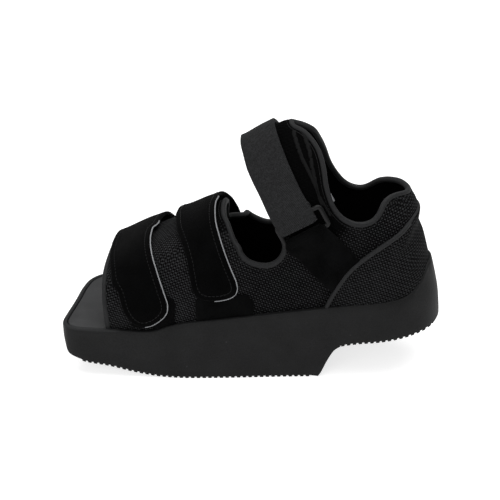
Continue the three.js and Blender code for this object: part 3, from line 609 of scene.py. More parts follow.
class Cloth:
    """Cloth cut to shape on the form, as triangles. Each point has a row of ten numbers: its place, its
    outward direction, how far it is lifted, its two distances over the cloth, and its place on the arch."""

    def __init__(self, laid_over=True, bow=0):
        places, outward = foot_form(bow)
        share = form_places[None, :]
        lap = eased(share, *FLAP_RISE) * (share <= FLAP_EDGE + 1e-9)
        if laid_over:
            lap = np.minimum(eased(share, *FLAP_RISE), eased(1 - share, *FLAP_RISE))
        lap = lap * form_rows[:, 11:12] * FLAP_STEP
        steps = np.linalg.norm(np.diff(places, axis=1), axis=2)
        around = np.concatenate([np.zeros((len(places), 1)), np.cumsum(steps, axis=1)], axis=1)
        around -= around[:, [len(form_places) // 2]]
        steps = np.linalg.norm(np.diff(places, axis=0), axis=2)
        along = np.concatenate([np.zeros((1, places.shape[1])), np.cumsum(steps, axis=0)], axis=0)
        columns = [places, outward, lap[..., None], along[..., None], around[..., None]]
        columns.append(np.broadcast_to(share[..., None], (*lap.shape, 1)))
        self.data = np.concatenate(columns, axis=2).reshape(-1, 10)
        self.marks = np.zeros(len(self.data), int)
        index = np.arange(len(self.data)).reshape(places.shape[:2])
        a, b, c, d = index[:-1, :-1], index[1:, :-1], index[1:, 1:], index[:-1, 1:]
        halves = ([a, b, d], [b, c, d])
        self.faces = np.concatenate([np.stack(corners, 2).reshape(-1, 3) for corners in halves])

    def at(self, height, lapped=True):
        """The points at a height over the foot form."""
        return self.data[:, :3] + self.data[:, 3:6] * (height + (self.data[:, 6:7] if lapped else 0))

    def keep(self, values, mark=0):
        """Trims the cloth to where the values are positive. The new edge gets the mark."""
        inside = (values > 0)[self.faces]
        count = inside.sum(axis=1)

        def corners(wanted, odd_one_is_inside):
            """Corners of the faces with so many inside, from the odd one on."""
            faces = self.faces[count == wanted]
            odd = (inside[count == wanted] == odd_one_is_inside).argmax(axis=1)
            return (faces[np.arange(len(faces)), (odd + shift) % 3] for shift in range(3))

        tip, after_tip, before_tip = corners(1, True)
        gone, after_gone, before_gone = corners(2, False)
        starts = np.concatenate([tip, tip, gone, gone])
        ends = np.concatenate([after_tip, before_tip, after_gone, before_gone])
        low = np.minimum(starts, ends)
        high = np.maximum(starts, ends)
        keys, number = np.unique(low * len(self.data) + high, return_inverse=True)
        low, high = keys // len(self.data), keys % len(self.data)
        share = (values[low] / (values[low] - values[high]))[:, None]
        made = self.data[low] * (1 - share) + self.data[high] * share
        sizes = np.cumsum([len(tip), len(tip), len(gone)])
        tip_left, tip_right, gone_left, gone_right = np.split(number + len(self.data), sizes)
        self.data = np.vstack([self.data, made])
        self.marks = np.concatenate([self.marks, np.full(len(made), mark)])
        faces = np.concatenate([
            self.faces[count == 3],
            np.column_stack([tip, tip_left, tip_right]),
            np.column_stack([gone_left, after_gone, before_gone]),
            np.column_stack([gone_left, before_gone, gone_right]),
        ])
        first, second, third = self.at(0)[faces].transpose(1, 0, 2)
        area = np.linalg.norm(np.cross(second - first, third - first), axis=1)
        faces = faces[area > 1e-13]
        used, number = np.unique(faces, return_inverse=True)
        self.data = self.data[used]
        self.marks = self.marks[used]
        self.faces = number.reshape(-1, 3)
        return self

    def keep_inside(self, outline, height, mark=0, inward=0.0):
        """Trims the cloth to a side view outline, as its points stand at a height."""
        return self.keep(inside_of(outline, self.at(height)[:, [0, 2]]) - inward, mark)

    def keep_outside(self, outline, height, mark=0, far=None):
        """Trims away what lies in a side view outline, or in another outline on the far side."""
        flat = self.at(height)[:, [0, 2]]
        values = inside_of(outline, flat)
        if far is not None:
            values = np.where(self.data[:, 9] < FLAP_EDGE + 0.003, values, inside_of(far, flat))
        return self.keep(-values, mark)

    def edges(self):
        """The cloth's edges as loops of point numbers, with the cloth on the left."""
        pairs = np.concatenate([self.faces[:, [0, 1]], self.faces[:, [1, 2]], self.faces[:, [2, 0]]])
        size = len(self.data)
        forward = pairs[:, 0] * size + pairs[:, 1]
        single = pairs[~np.isin(forward, pairs[:, 1] * size + pairs[:, 0])]
        following = dict(single.tolist())
        loops = []
        while following:
            start, here = following.popitem()
            loop = [start]
            while here != start and here in following:
                loop.append(here)
                here = following.pop(here)
            if here == start and len(loop) > 8:
                loops.append(np.array(loop))
        return loops


def spaced(path, spacing, closed):
    """The path at even steps, measured on its first three columns."""
    path = np.asarray(path)
    if closed:
        path = np.vstack([path, path[:1]])
    walk = np.concatenate([[0], np.cumsum(np.linalg.norm(np.diff(path[:, :3], axis=0), axis=1))])
    count = max(4, int(round(walk[-1] / spacing)))
    stops = np.linspace(0, walk[-1], count + 1)
    result = np.column_stack([np.interp(stops, walk, path[:, column]) for column in range(path.shape[1])])
    return result[:-1] if closed else result


def softened(path, times, closed):
    """The path with its small kinks smoothed away."""
    path = np.array(path)
    for _ in range(times):
        if closed:
            path = (np.roll(path, 1, axis=0) + 2 * path + np.roll(path, -1, axis=0)) / 4
        else:
            path[1:-1] = (path[:-2] + 2 * path[1:-1] + path[2:]) / 4
    return path


def thick_piece(name, cloth, low, high, lapped_under=True, rounded=True, angle=50):
    """A solid piece of cloth between two heights over the foot form, with round edges."""
    top = cloth.at(high)
    bottom = cloth.at(low, lapped_under)
    size = len(top)
    vertices = [top, bottom]
    faces = [cloth.faces, cloth.faces[:, ::-1] + size]
    kinds = [np.zeros(len(cloth.faces), int), np.ones(len(cloth.faces), int)]
    spread = [cloth.data[:, 7:9]] * 2
    total = 2 * size
    steps = 5 if rounded else 1
    for loop in cloth.edges():
        middle = (top[loop] + bottom[loop]) / 2
        half = (top[loop] - bottom[loop]) / 2
        radius = np.linalg.norm(half, axis=1, keepdims=True)
        heading = softened(np.roll(middle, -2, axis=0) - np.roll(middle, 2, axis=0), 2, True)
        out = np.cross(heading, half)
        out /= np.maximum(np.linalg.norm(out, axis=1, keepdims=True), 1e-12)
        previous = loop
        for step in range(1, steps + 1):
            if step == steps:
                ring = loop + size
            else:
                angle_here = math.pi * step / steps
                vertices.append(middle + half * math.cos(angle_here) + out * radius * math.sin(angle_here))
                spread.append(cloth.data[loop, 7:9])
                ring = total + np.arange(len(loop))
                total += len(loop)
            after = np.roll(previous, -1)
            ring_after = np.roll(ring, -1)
            faces.append(np.column_stack([after, previous, ring_after]))
            faces.append(np.column_stack([previous, ring, ring_after]))
            kinds.append(np.zeros(2 * len(loop), int))
            previous = ring
    kinds = np.concatenate(kinds)
    return made_object(name, np.vstack(vertices), np.vstack(faces), np.vstack(spread), kinds, angle)


def run_along(name, path, out, profile, closed, angle=60):
    """A trim run along a path: its profile's points stand sideways and outward from the path."""
    heading = np.roll(path, -1, axis=0) - np.roll(path, 1, axis=0)
    if not closed:
        heading[0] = path[1] - path[0]
        heading[-1] = path[-1] - path[-2]
    heading /= np.linalg.norm(heading, axis=1, keepdims=True)
    out = out - heading * (out * heading).sum(axis=1, keepdims=True)
    out /= np.linalg.norm(out, axis=1, keepdims=True)
    sideways = np.cross(heading, out)
    count = len(profile)
    rings = path[:, None] + sideways[:, None] * profile[None, :, :1] + out[:, None] * profile[None, :, 1:]
    index = np.arange(len(path) * count).reshape(len(path), count)
    here = index if closed else index[:-1]
    after = np.roll(index, -1, axis=0) if closed else index[1:]
    quads = np.stack([here, np.roll(here, -1, axis=1), np.roll(after, -1, axis=1), after], axis=2)
    faces = quads.reshape(-1, 4).tolist()
    if not closed:
        faces += [index[0][::-1].tolist(), index[-1].tolist()]
    walk = np.concatenate([[0], np.cumsum(np.linalg.norm(np.diff(path, axis=0), axis=1))])
    turn = np.cumsum(np.linalg.norm(profile - np.roll(profile, 1, axis=0), axis=1))
    spread = np.stack(np.broadcast_arrays(walk[:, None], turn[None, :]), axis=2).reshape(-1, 2)
    return made_object(name, rings.reshape(-1, 3), faces, spread, None, angle)


def oval(half_width, half_height, count=16, squareness=2.0):
    """A rounded profile, wider or squarer than a circle."""
    angle = 2 * np.pi * np.arange(count) / count
    x, y = np.cos(angle), np.sin(angle)
    return np.column_stack([
        half_width * np.sign(x) * np.abs(x) ** (2 / squareness),
        half_height * np.sign(y) * np.abs(y) ** (2 / squareness),
    ])[::-1]


FLAP_BOW = np.where(form_places <= FLAP_EDGE + 1e-9, 0.95, 0)
toe_edge = smooth(side([[38, 18], [38.3, 27], [38.7, 33], [39, 38], [39.2, 42], [39, 45], [38.2, 52]]), 6)
throat_behind = [
    [-3.3, 48.2], [-5.6, 49], [-7, 50.9], [-7.9, 53.4], [-8, 56], [-7.3, 58.6], [-5.9, 64.6], [-3.8, 72],
    [-1.1, 79.5], [1, 86.6], [2.8, 95.7],
]
throat_near = smooth(side([
    [9.2, 72], [8.7, 68], [8.1, 65.6], [7.4, 64], [6.9, 63.2], [6, 62.1], [5, 59.6], [4, 57], [3, 54.6],
    [2, 52.4], [0.8, 50.3], [-0.9, 49], *throat_behind,
]), 5)
throat_far = smooth(side([
    [8.5, 63], [8.2, 57.6], [7.4, 56.6], [6.1, 55.9], [4.9, 54.9], [3.7, 53.6], [2.4, 52], [1.1, 50.6],
    [-0.3, 49.5], [-1.7, 48.6], *throat_behind,
]), 5)
wing_top = [[-9.3, 104], [-9.7, 99.8], [-10.4, 98.5], [-11.9, 98]]
heel_back = [[-38.4, 74.1], [-41.7, 73.1], [-46.2, 71.5]]
collar_near = smooth(side([
    *wing_top, [-13.7, 96.5], [-15.4, 94.2], [-16.8, 91.8], [-17.8, 88.9], [-18.5, 85.6], [-18.9, 82.6],
    [-19.3, 79.2], [-20, 75.8], [-20.9, 72.3], [-22, 69.8], [-23.5, 67.6], [-25.3, 66.2], [-27.2, 65.5],
    [-29.2, 65.8], [-30.9, 67.1], [-32.1, 69.4], [-33, 72], [-34.3, 73.6], [-36.2, 74.3], *heel_back,
]), 5)
collar_far = smooth(side([
    *wing_top, [-13.9, 97], [-15.7, 94.6], [-17, 90.2], [-18, 86.2], [-18.8, 82.2], [-19.6, 78],
    [-20.7, 74.4], [-22, 71.2], [-23.5, 68.4], [-25.2, 66.6], [-27.4, 65.8], [-29.1, 66.4], [-30.5, 67.9],
    [-32.2, 70.1], [-34.7, 72.4], [-36.4, 73.4], *heel_back,
]), 5)
counter_edge = smooth(side([
    [-18.7, 26], [-18.9, 29.7], [-19.7, 32.7], [-22.3, 40.3], [-25.5, 47.6], [-29.8, 53.6], [-34.7, 58.8],
    [-39.4, 63.4], [-42, 65.6], [-46, 67.5],
]), 6)

bead = BINDING_WIDTH / 2
toe_cut = np.vstack([beside(toe_edge, bead), side([[60, 52], [60, 18]])])
before_throat = side([[14, 98], [14, 72]])
throat_cuts = [np.vstack([beside(line, bead), before_throat]) for line in (throat_near, throat_far)]
behind_collar = side([[-60, 70], [-60, 110], [-9, 110]])
collar_cuts = [np.vstack([beside(line, bead), behind_collar]) for line in (collar_near, collar_far)]


def crease(cloth, start, end, depth, width):
    """Sinks the near side of a cloth softly along a side view line, or raises it for a negative depth."""
    start, end = side([start, end])
    line = end - start
    flat = cloth.data[:, [0, 2]]
    share = ((flat - start) @ line) / (line @ line)
    gap = np.linalg.norm(flat - start - np.clip(share, 0, 1)[:, None] * line, axis=1)
    fade = np.clip(2.4 * np.minimum(share + 0.2, 1.2 - share), 0, 1)
    cloth.data[:, 6] -= depth * np.exp(-((gap / width) ** 2)) * fade * eased(cloth.data[:, 1], 0, 0.02)


# Six soft creases of the near side, and one raised fold behind the instep strap
upper_cloth = Cloth(laid_over=False, bow=FLAP_BOW)
for start, end, depth, width in (
    ([-21.6, 64.8], [-26, 58.5], 0.0007, 0.0022),
    ([-24, 63], [-28.6, 57.5], 0.0006, 0.002),
    ([-31, 60], [-28.5, 52], 0.0006, 0.004),
    ([-2.2, 47], [-0.8, 35], 0.0008, 0.007),
    ([3.6, 46], [1.5, 38], -0.0005, 0.005),
    ([19.5, 50], [17, 38], 0.0006, 0.006),
    ([-41, 66], [-43.5, 60], 0.0008, 0.004),
):
    crease(upper_cloth, start, end, depth, width)
upper_cloth.keep_outside(toe_cut, 0, TOE)
upper_cloth.keep_outside(throat_cuts[0], 0, THROAT, far=throat_cuts[1])
upper_cloth.keep_outside(collar_cuts[0], 0, COLLAR, far=collar_cuts[1])
upper_cloth.keep_outside(below_board, 0)
upper = thick_piece("mesh_upper", upper_cloth, -WALL, 0, lapped_under=False, rounded=False)


def spacer_mesh(name, pitch, thread, hole, darker_quarter_and_shaded_wings=False):
    """Knitted spacer mesh: slanting rows of raised matt threads with small dark holes between them. When
    asked, it is drawn a little darker on the quarter and nearly black on the ankle wings, where the dark is
    painted shade."""
    mesh = Finish(name, 0.85, specular=0.04)
    x, y, z = mesh.parts(mesh.place())
    facing = mesh.facing()
    # The lattice is drawn on three planes, and a point takes most of it from the plane that it faces
    straight = 0.89 * 2 * math.pi / pitch
    slant = 0.45 * 2 * math.pi / pitch
    lattice = 0.0
    shares = 0.0
    for along, up, turned in ((y, z, facing[0]), (x, z, facing[1]), (x, y, facing[2])):
        rows = mesh.calc("SUBTRACT", mesh.times(up, straight), mesh.times(along, slant))
        ribs = mesh.plus(mesh.times(along, straight), mesh.times(up, slant))
        knots = mesh.times(mesh.calc("SINE", rows), mesh.calc("SINE", ribs))
        drawn = mesh.calc("MULTIPLY_ADD", mesh.calc("SINE", rows), 0.45, knots)
        share = mesh.calc("MAXIMUM", mesh.calc("SUBTRACT", mesh.calc("ABSOLUTE", turned), 0.54), 0.0)
        lattice = mesh.calc("MULTIPLY_ADD", drawn, share, lattice)
        shares = mesh.plus(shares, share)
    lattice = mesh.calc("DIVIDE", lattice, shares)
    fuzz = mesh.plus(mesh.noise(900, 3), mesh.times(mesh.noise(120, 2), 0.6))
    mixed = mesh.plus(mesh.calc("MULTIPLY_ADD", lattice, 0.3, 0.3), mesh.times(fuzz, 0.28))
    mesh.bump(mixed, 0.0007, 0.8)
    if darker_quarter_and_shaded_wings:
        # The quarter is drawn a little darker, and the wings nearly black with painted shade
        quarter = mesh.times(mesh.between(x, *QUARTER_FRONT), mesh.between(x, *QUARTER_BACK))
        wing = mesh.times(mesh.between(z, *WING_FOOT), mesh.between(x, *WING_BACK))
        for darkened_part, darker in ((quarter, -0.12), (wing, -0.6)):
            mixed = mesh.times(mixed, mesh.calc("MULTIPLY_ADD", darkened_part, darker, 1.0))
    return mesh.done(mesh.ramp(mixed, grey(hole), grey(thread), 0.45, 0.76))


def soft_lining():
    """Brushed black lining over thin foam."""
    lining = Finish("lining", 0.95, specular=0.02)
    nap = lining.noise(1500, 4)
    lining.bump(nap, 0.0004, 0.5)
    return lining.done(lining.ramp(nap, grey(0.0004), grey(0.0012), 0.3, 0.7))


def joined_pieces(name, pieces):
    """Several meshes made one piece."""
    bpy.ops.object.select_all(action="DESELECT")
    for piece in pieces:
        piece.select_set(True)
    bpy.context.view_layer.objects.active = pieces[0]
    bpy.ops.object.join()
    pieces[0].name = name
    pieces[0].select_set(False)
    return pieces[0]


def fine_thread(name, roughness, specular, low, high):
    """Thread of one shade with a fine grain and a dull or a soft gloss."""
    thread = Finish(name, roughness, specular=specular)
    return thread.done(thread.ramp(thread.noise(1500, 2), grey(low), grey(high), 0.3, 0.7))


def label_satin():
    """Plain white satin."""
    satin = Finish("label_satin", 0.5, specular=0.3)
    return satin.done(satin.ramp(satin.noise(900, 2), grey(0.75), grey(0.85), 0.3, 0.7))


seam_cord = fine_thread("seam_cord", 0.7, 0.1, 0.0016, 0.0045)
faced(upper, spacer_mesh("upper_mesh", 0.0025, 0.027, 0.0003, darker_quarter_and_shaded_wings=True), soft_lining())
wing_seams = []
for points in (
    [[-10, 96.4], [-10.9, 92.9], [-12.6, 87.5], [-14.8, 82.2], [-16.4, 77.3], [-17.8, 73.3], [-20, 68]],
    [[-12, 97], [-13, 94.6], [-14.3, 90], [-15.1, 84.9], [-15.9, 80.8], [-16.9, 75.1], [-18.3, 70]],
):
    seam_line = smooth(side(points), 6)
    seam_cloth = Cloth(laid_over=False, bow=FLAP_BOW)
    seam_cloth.keep(seam_cloth.at(0)[:, 1] - 0.001)
    seam_strip = np.vstack([beside(seam_line, SEAM_WIDTH / 2), beside(seam_line, -SEAM_WIDTH / 2)[::-1]])
    seam_cloth.keep_inside(seam_strip, 0)
    seam = thick_piece("wing_seam", seam_cloth, -SEAM_SUNK, SEAM_PROUD, lapped_under=False)
    faced(seam, seam_cord)
    wing_seams.append(seam)
label_corner = side([[-17.5, 62.2], [-19.9, 61.7], [-21.2, 58.2], [-18.8, 56.6]])
label_cloth = Cloth(laid_over=False, bow=FLAP_BOW)
label_cloth.keep(-0.01 - label_cloth.at(0)[:, 1])
label_cloth.keep_inside(label_corner, -WALL - LABEL_TO / 2)
label = thick_piece("blank_label", label_cloth, -WALL - LABEL_TO, -WALL - LABEL_FROM, lapped_under=False)
faced(label, label_satin())
upper = joined_pieces("mesh_upper", [upper, *wing_seams, label])
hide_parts("upper")
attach(upper, "root")


# Bound edges: a ribbed tape folded over the cut edge of the upper at the toe opening, round the throat
# notch and the ankle wings, and round the collar. Stitches run beside the throat's and the collar's tape.
THREAD = 0.0002
STITCH_DIP = 0.00022
STITCH_LENGTH = 0.003


def edge_path(cloth, mark, height, spacing=0.0013, softening=6):
    """The cloth's edge with a mark, as a path and its outward directions, and whether it closes."""
    for loop in cloth.edges():
        marked = cloth.marks[loop] == mark
        if marked.sum() < 20:
            continue
        closed = marked.mean() > 0.9
        if closed:
            chosen = loop
        else:
            first = int(np.argmax(~marked))
            loop = np.roll(loop, -first)
            marked = cloth.marks[loop] == mark
            chosen = loop[marked.argmax():len(loop) - marked[::-1].argmax()]
        rows = np.column_stack([cloth.at(height)[chosen], cloth.data[chosen, 3:6]])
        rows = spaced(rows, spacing, closed)
        rows = softened(rows, softening, closed)
        return rows[:, :3], rows[:, 3:], closed
    raise ValueError("the cloth has no edge with that mark")


def away_from(path, out):
    """Directions across a cloth's edge that point away from the cloth."""
    across = np.cross(np.roll(path, -1, axis=0) - np.roll(path, 1, axis=0), out)
    return across / np.linalg.norm(across, axis=1, keepdims=True)


sewing_thread = fine_thread("sewing_thread", 0.5, 0.15, 0.004, 0.01)


def stitch_row(cloth, mark, height, inward):
    """A thread that dips in and out of the cloth, a distance inward from its edge with a mark."""
    path, out, closed = edge_path(cloth, mark, height, softening=10)
    path = path - away_from(path, out) * inward
    if not closed:
        path = path[2:-2]
        out = out[2:-2]
    rows = spaced(np.column_stack([path, out]), STITCH_LENGTH / 6, closed)
    path, out = rows[:, :3], rows[:, 3:]
    dip = np.sin(np.arange(len(rows)) * math.pi / 3)[:, None]
    thread = run_along("stitches", path + out * STITCH_DIP * dip, out, oval(THREAD, THREAD, 6), closed)
    thread.data.materials.append(sewing_thread)
    return thread


def bound_tape():
    """Folded tape: close cross ribs and a slight satin gloss."""
    tape = Finish("bound_edge", 0.6, specular=0.12)
    along, _ = tape.layout()
    ribs = tape.calc("SINE", tape.times(along, 2 * math.pi / 0.0009))
    grain = tape.noise(1800, 3)
    relief = tape.plus(tape.times(ribs, 0.3), grain)
    tape.bump(relief, 0.00018, 0.6)
    return tape.done(tape.ramp(grain, grey(0.008), grey(0.019), 0.3, 0.7))


tape = bound_tape()
bead_height = WALL / 2 + BINDING_PROUD
for name, mark, node in (
    ("toe_tape", TOE, "toe_binding"),
    ("throat_tape", THROAT, "throat_binding"),
    ("collar_tape", COLLAR, "collar_binding"),
):
    path, out, closed = edge_path(upper_cloth, mark, -WALL / 2)
    trim = run_along(name, path, out, oval(bead, bead_height, 18, 2.4), closed)
    trim.data.materials.append(tape)
    if mark != TOE:
        trim = joined_pieces(name, [trim, stitch_row(upper_cloth, mark, 0, bead + 0.0012)])
    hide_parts(node)
    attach(trim, "root")


# Counter: a second layer of coarser mesh over the heel, bounded by a raised round piping that runs from the
# sole's rim on one side, up round the back of the heel, to the rim on the other.
COUNTER_THICKNESS = 0.0015
PIPING_HEIGHT = 0.0034
PIPING_WIDTH = 0.0034
PIPING_SUNK = 0.0022
below_rim = np.vstack([beside(rim_line, 0.0015)[:-8], side([[-60, 44.5], [-60, -5], [60, -5], [60, 20.8]])])


def inside_counter(distance):
    """Side view outline of what the counter covers, moved in from its edge."""
    return np.vstack([beside(counter_edge, distance), side([[-60, 66], [-60, 10], [-19.2, 10]])])


counter_cloth = Cloth()
counter_cloth.keep_inside(inside_counter(PIPING_WIDTH / 2), 0.001, COUNTER)
counter_cloth.keep_outside(below_rim, 0.001)
counter = thick_piece("heel_counter", counter_cloth, GAP, GAP + COUNTER_THICKNESS)
faced(counter, spacer_mesh("counter_mesh", 0.0027, 0.024, 0.0003))
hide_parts("counter")
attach(counter, "root")

path, out, closed = edge_path(counter_cloth, COUNTER, GAP + PIPING_HEIGHT / 2)
path -= out * PIPING_SUNK * eased(-path[:, :1] / LENGTH, 0.37, 0.42)
piping = run_along("heel_piping", path, out, oval(PIPING_WIDTH / 2, PIPING_HEIGHT / 2, 16, 2.2), closed)
piping.data.materials.append(tape)
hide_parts("counter_piping")
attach(piping, "root")


# Loop patches: thin squares of soft loops, sewn to the mesh on the near side, that the hooks of the forefoot
# straps close on.
PATCH_THICKNESS = 0.0013


def loop_fleece(name, low, high):
    """Black brushed loops: matt, a little cloudy, with a fine uneven nap."""
    fleece = Finish(name, 0.95, sheen=0.012, specular=0.02)
    nap = fleece.noise(2200, 4)
    clouds = fleece.noise(70, 3)
    fleece.bump(nap, 0.0006, 0.7)
    fleece.bump(clouds, 0.0015, 0.35)
    shade = fleece.plus(fleece.times(nap, 0.5), fleece.times(clouds, 0.5))
    return fleece.done(fleece.ramp(shade, grey(low), grey(high), 0.35, 0.65))


patch_loops = loop_fleece("patch_loops", 0.001, 0.0035)
toe_corners = [[31, 22], [31, 33], [28, 36], [20.5, 35.6], [19.4, 33], [19.8, 22]]
instep_corners = [[14, 24], [14.2, 34], [12, 37], [1, 35.6], [-0.9, 33], [-0.7, 25]]
for name, node, corners in (
    ("toe_loop_patch", "toe_patch", toe_corners),
    ("instep_loop_patch", "instep_patch", instep_corners),
):
    patch_cloth = Cloth()
    patch_cloth.keep(patch_cloth.at(0)[:, 1] - 0.01)
    patch_cloth.keep_inside(side(corners), GAP + PATCH_THICKNESS / 2, inward=PATCH_THICKNESS / 2)
    patch_cloth.keep_outside(below_rim, GAP + PATCH_THICKNESS / 2)
    patch = thick_piece(name, patch_cloth, GAP, GAP + PATCH_THICKNESS)
    faced(patch, patch_loops)
    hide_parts(node)
    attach(patch, "root")


# Forefoot straps: two wide black fleece-faced straps, sewn in at the sole on the far side, drawn over the
# forefoot and closed on the loop patches of the near side, where their ends are rounded. A pale cord binds
# the rear edge of each on the near side, and a row of stitches runs round it.
STRAP_THICKNESS = 0.0032
CORD_BELOW_FACE = 0.001
STITCHES_INWARD = 0.0028
STRAP_FROM = 2 * GAP + PATCH_THICKNESS
strap_fleece = loop_fleece("strap_fleece", 0.0008, 0.002)
strap_outlines = {
    "toe_strap": (
        [
            [38.9, 58], [38.9, 46], [38.5, 44.7], [38, 44.2], [36.9, 43.4], [36.3, 41.8], [35.9, 39.4],
            [35.1, 38.2], [34.2, 37.2], [33.7, 35], [33.2, 32], [32.6, 29.2], [31.6, 26.3], [29.9, 23.9],
            [27.9, 22.8], [25.5, 23.8], [23.6, 25.8], [22.1, 27.9], [21.2, 30.4], [21.2, 33.8], [22.6, 39.9],
            [24.3, 46], [26.1, 50.8], [26.9, 52.6], [26.9, 53.8], [26.4, 54.6], [26.3, 55.4], [26.3, 64],
        ],
        [
            [38.9, 58], [38.9, 46], [38.2, 43.5], [36.8, 36], [35.4, 28], [34.8, 12], [21.4, 12], [21.4, 28],
            [22, 38], [22.8, 46], [24.4, 52], [25.6, 54.2], [26.1, 54.8], [26.3, 55.4], [26.3, 64],
        ],
    ),
    "instep_strap": (
        [
            [21.2, 70], [21.2, 58.5], [20.6, 57.4], [19.9, 56.7], [18.5, 55.2], [17.4, 53.2], [16.4, 50],
            [15.8, 46.5], [15.3, 42.5], [14.9, 39.2], [13.9, 36.3], [12.2, 34.9], [10.2, 34.4], [7.5, 34.5],
            [5.2, 35.3], [3.7, 36.9], [3.2, 39.2], [3.6, 42.5], [4.8, 46.6], [6.4, 52], [8.2, 58.5],
            [9.3, 62], [9.9, 64.5], [10, 67], [10, 72],
        ],
        [
            [21.2, 70], [21.2, 58.5], [20.6, 53], [19.6, 47], [18.4, 38], [17.6, 28], [17.4, 12], [3.6, 12],
            [3.6, 36], [4.2, 46], [5.4, 52.5], [6.8, 57.7], [8.3, 61.5], [9.4, 64.5], [10, 67], [10, 72],
        ],
    ),
}


def strap_cloth(near, far, low, high, bow):
    """Cloth for a strap, cut by one side view outline on the near side and another on the far side."""
    cloth = Cloth(bow=bow)
    middle = cloth.at((low + high) / 2)
    flat = middle[:, [0, 2]]
    values = np.where(middle[:, 1] > 0, inside_of(near, flat), inside_of(far, flat))
    return cloth.keep(values - (high - low) / 2, STRAP_EDGE)


def rear_edge(cloth, height):
    """The near side's rear edge of a strap, up to the crown, as a path and its outward directions."""
    path, out, _ = edge_path(cloth, STRAP_EDGE, height, softening=3)
    away = away_from(path, out)
    path += away * STRAP_THICKNESS / 2
    behind = (away[:, 0] < 0) & (path[:, 1] > -0.006)
    first = int(np.argmax(behind & ~np.roll(behind, 1)))
    count = int(np.argmin(np.roll(behind, -first)))
    return np.roll(path, -first, axis=0)[:count], np.roll(out, -first, axis=0)[:count]


edge_thread = fine_thread("edge_cord", 0.5, 0.3, 0.16, 0.26)
for node, (near, far) in strap_outlines.items():
    high = STRAP_FROM + STRAP_THICKNESS
    cloth = strap_cloth(side(near), side(far), STRAP_FROM, high, 1)
    cloth.keep_outside(below_rim, (STRAP_FROM + high) / 2)
    strap = thick_piece(node.replace("strap", "fleece_strap"), cloth, STRAP_FROM, high)
    faced(strap, strap_fleece)
    path, out = rear_edge(cloth, high - CORD_BELOW_FACE)
    cord = run_along("cord", path, out, oval(0.0005, 0.0006, 10), False)
    cord.data.materials.append(edge_thread)
    stitches = stitch_row(cloth, STRAP_EDGE, high, STITCHES_INWARD)
    strap = joined_pieces(strap.name, [strap, cord, stitches])
    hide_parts(node)
    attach(strap, "root")


# Ring: a rectangular loop of smooth black plastic that the ankle strap turns back through, held low on the
# ankle by the anchor band.
RING_LENGTH = 0.04
RING_WIDTH = 0.0195
RING_BAR = 0.0036
RING_THICKNESS = 0.0032
RING_CLEARANCE = 0.0004
ring_middle = np.array([-0.131 * LENGTH, 0.76 * HALF_BALL, 0.647 * HEIGHT])
tilt = math.radians(9)
slope = math.radians(30)
turn_across = np.array([
    [1, 0, 0],
    [0, math.cos(tilt), -math.sin(tilt)],
    [0, math.sin(tilt), math.cos(tilt)],
])
turn_down = np.array([
    [math.cos(slope), 0, math.sin(slope)],
    [0, 1, 0],
    [-math.sin(slope), 0, math.cos(slope)],
])
ring_turn = turn_across @ turn_down


def in_ring(places):
    """Places given along the ring's length, outward from its face, and up its width."""
    return np.asarray(places) @ ring_turn.T + ring_middle


def round_corners(width, height, radius, steps=5):
    """A rectangle with round corners, counter-clockwise."""
    points = []
    for quarter in range(4):
        x = (width / 2 - radius) * (1 if quarter in (0, 3) else -1)
        y = (height / 2 - radius) * (1 if quarter < 2 else -1)
        for angle in np.linspace(0, math.pi / 2, steps + 1) + quarter * math.pi / 2:
            points.append([x + radius * math.cos(angle), y + radius * math.sin(angle)])
    return np.array(points)


plan = round_corners(RING_LENGTH - RING_BAR, RING_WIDTH - RING_BAR, 0.0022)
plan = spaced(np.column_stack([plan[:, 0], np.zeros(len(plan)), plan[:, 1]]), 0.0006, True)
facing = np.tile(ring_turn @ [0, 1, 0], (len(plan), 1))
ring = run_along("strap_ring", in_ring(plan), facing, oval(RING_BAR / 2, RING_THICKNESS / 2, 16, 2.8), True)


def ring_plastic():
    """Moulded black plastic with a soft gloss and a fine surface grain."""
    plastic = Finish("ring_plastic", 0.35, specular=0.22)
    grain = plastic.noise(700, 2)
    plastic.bump(grain, 0.0001, 0.4)
    return plastic.done(plastic.ramp(grain, grey(0.0015), grey(0.003), 0.3, 0.7))


ring.data.materials.append(ring_plastic())
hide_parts("ring")
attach(ring, "root")


# Webbing: the anchor band, faced with fleecy loops, is sewn down under the heel piping and folds round the
# ring's lower bar. The woven ankle strap is sewn down on the far side, runs over the ankle, through the
# ring and back over itself.
BAND_THICKNESS = 0.0019
BAND_FROM = BINDING_PROUD + GAP
FOLD_LENGTH = 0.0285
FOLD_SHIFT = 0.0018
FOLD_THICKNESS = BAND_THICKNESS * 0.8
OVER_RING = 0.002
DOUBLED_END = -0.024


def woven_webbing():
    """Flat woven webbing: close cross picks between fine lengthwise ribs, charcoal with a dull shine."""
    web = Finish("webbing", 0.75, sheen=0.01, specular=0.08)
    along, around = web.layout()
    picks = web.calc("SINE", web.times(around, 2 * math.pi / 0.0011))
    ribs = web.calc("SINE", web.times(along, 2 * math.pi / 0.0013))
    weave = web.times(picks, ribs)
    fuzz = web.noise(1600, 4)
    relief = web.plus(web.times(weave, 0.35), fuzz)
    web.bump(relief, 0.00035, 0.7)
    relief = web.plus(relief, web.calc("MULTIPLY_ADD", web.noise(450, 4), 0.5, -0.25))
    return web.done(web.ramp(relief, grey(0.003), grey(0.03), 0.2, 0.95))


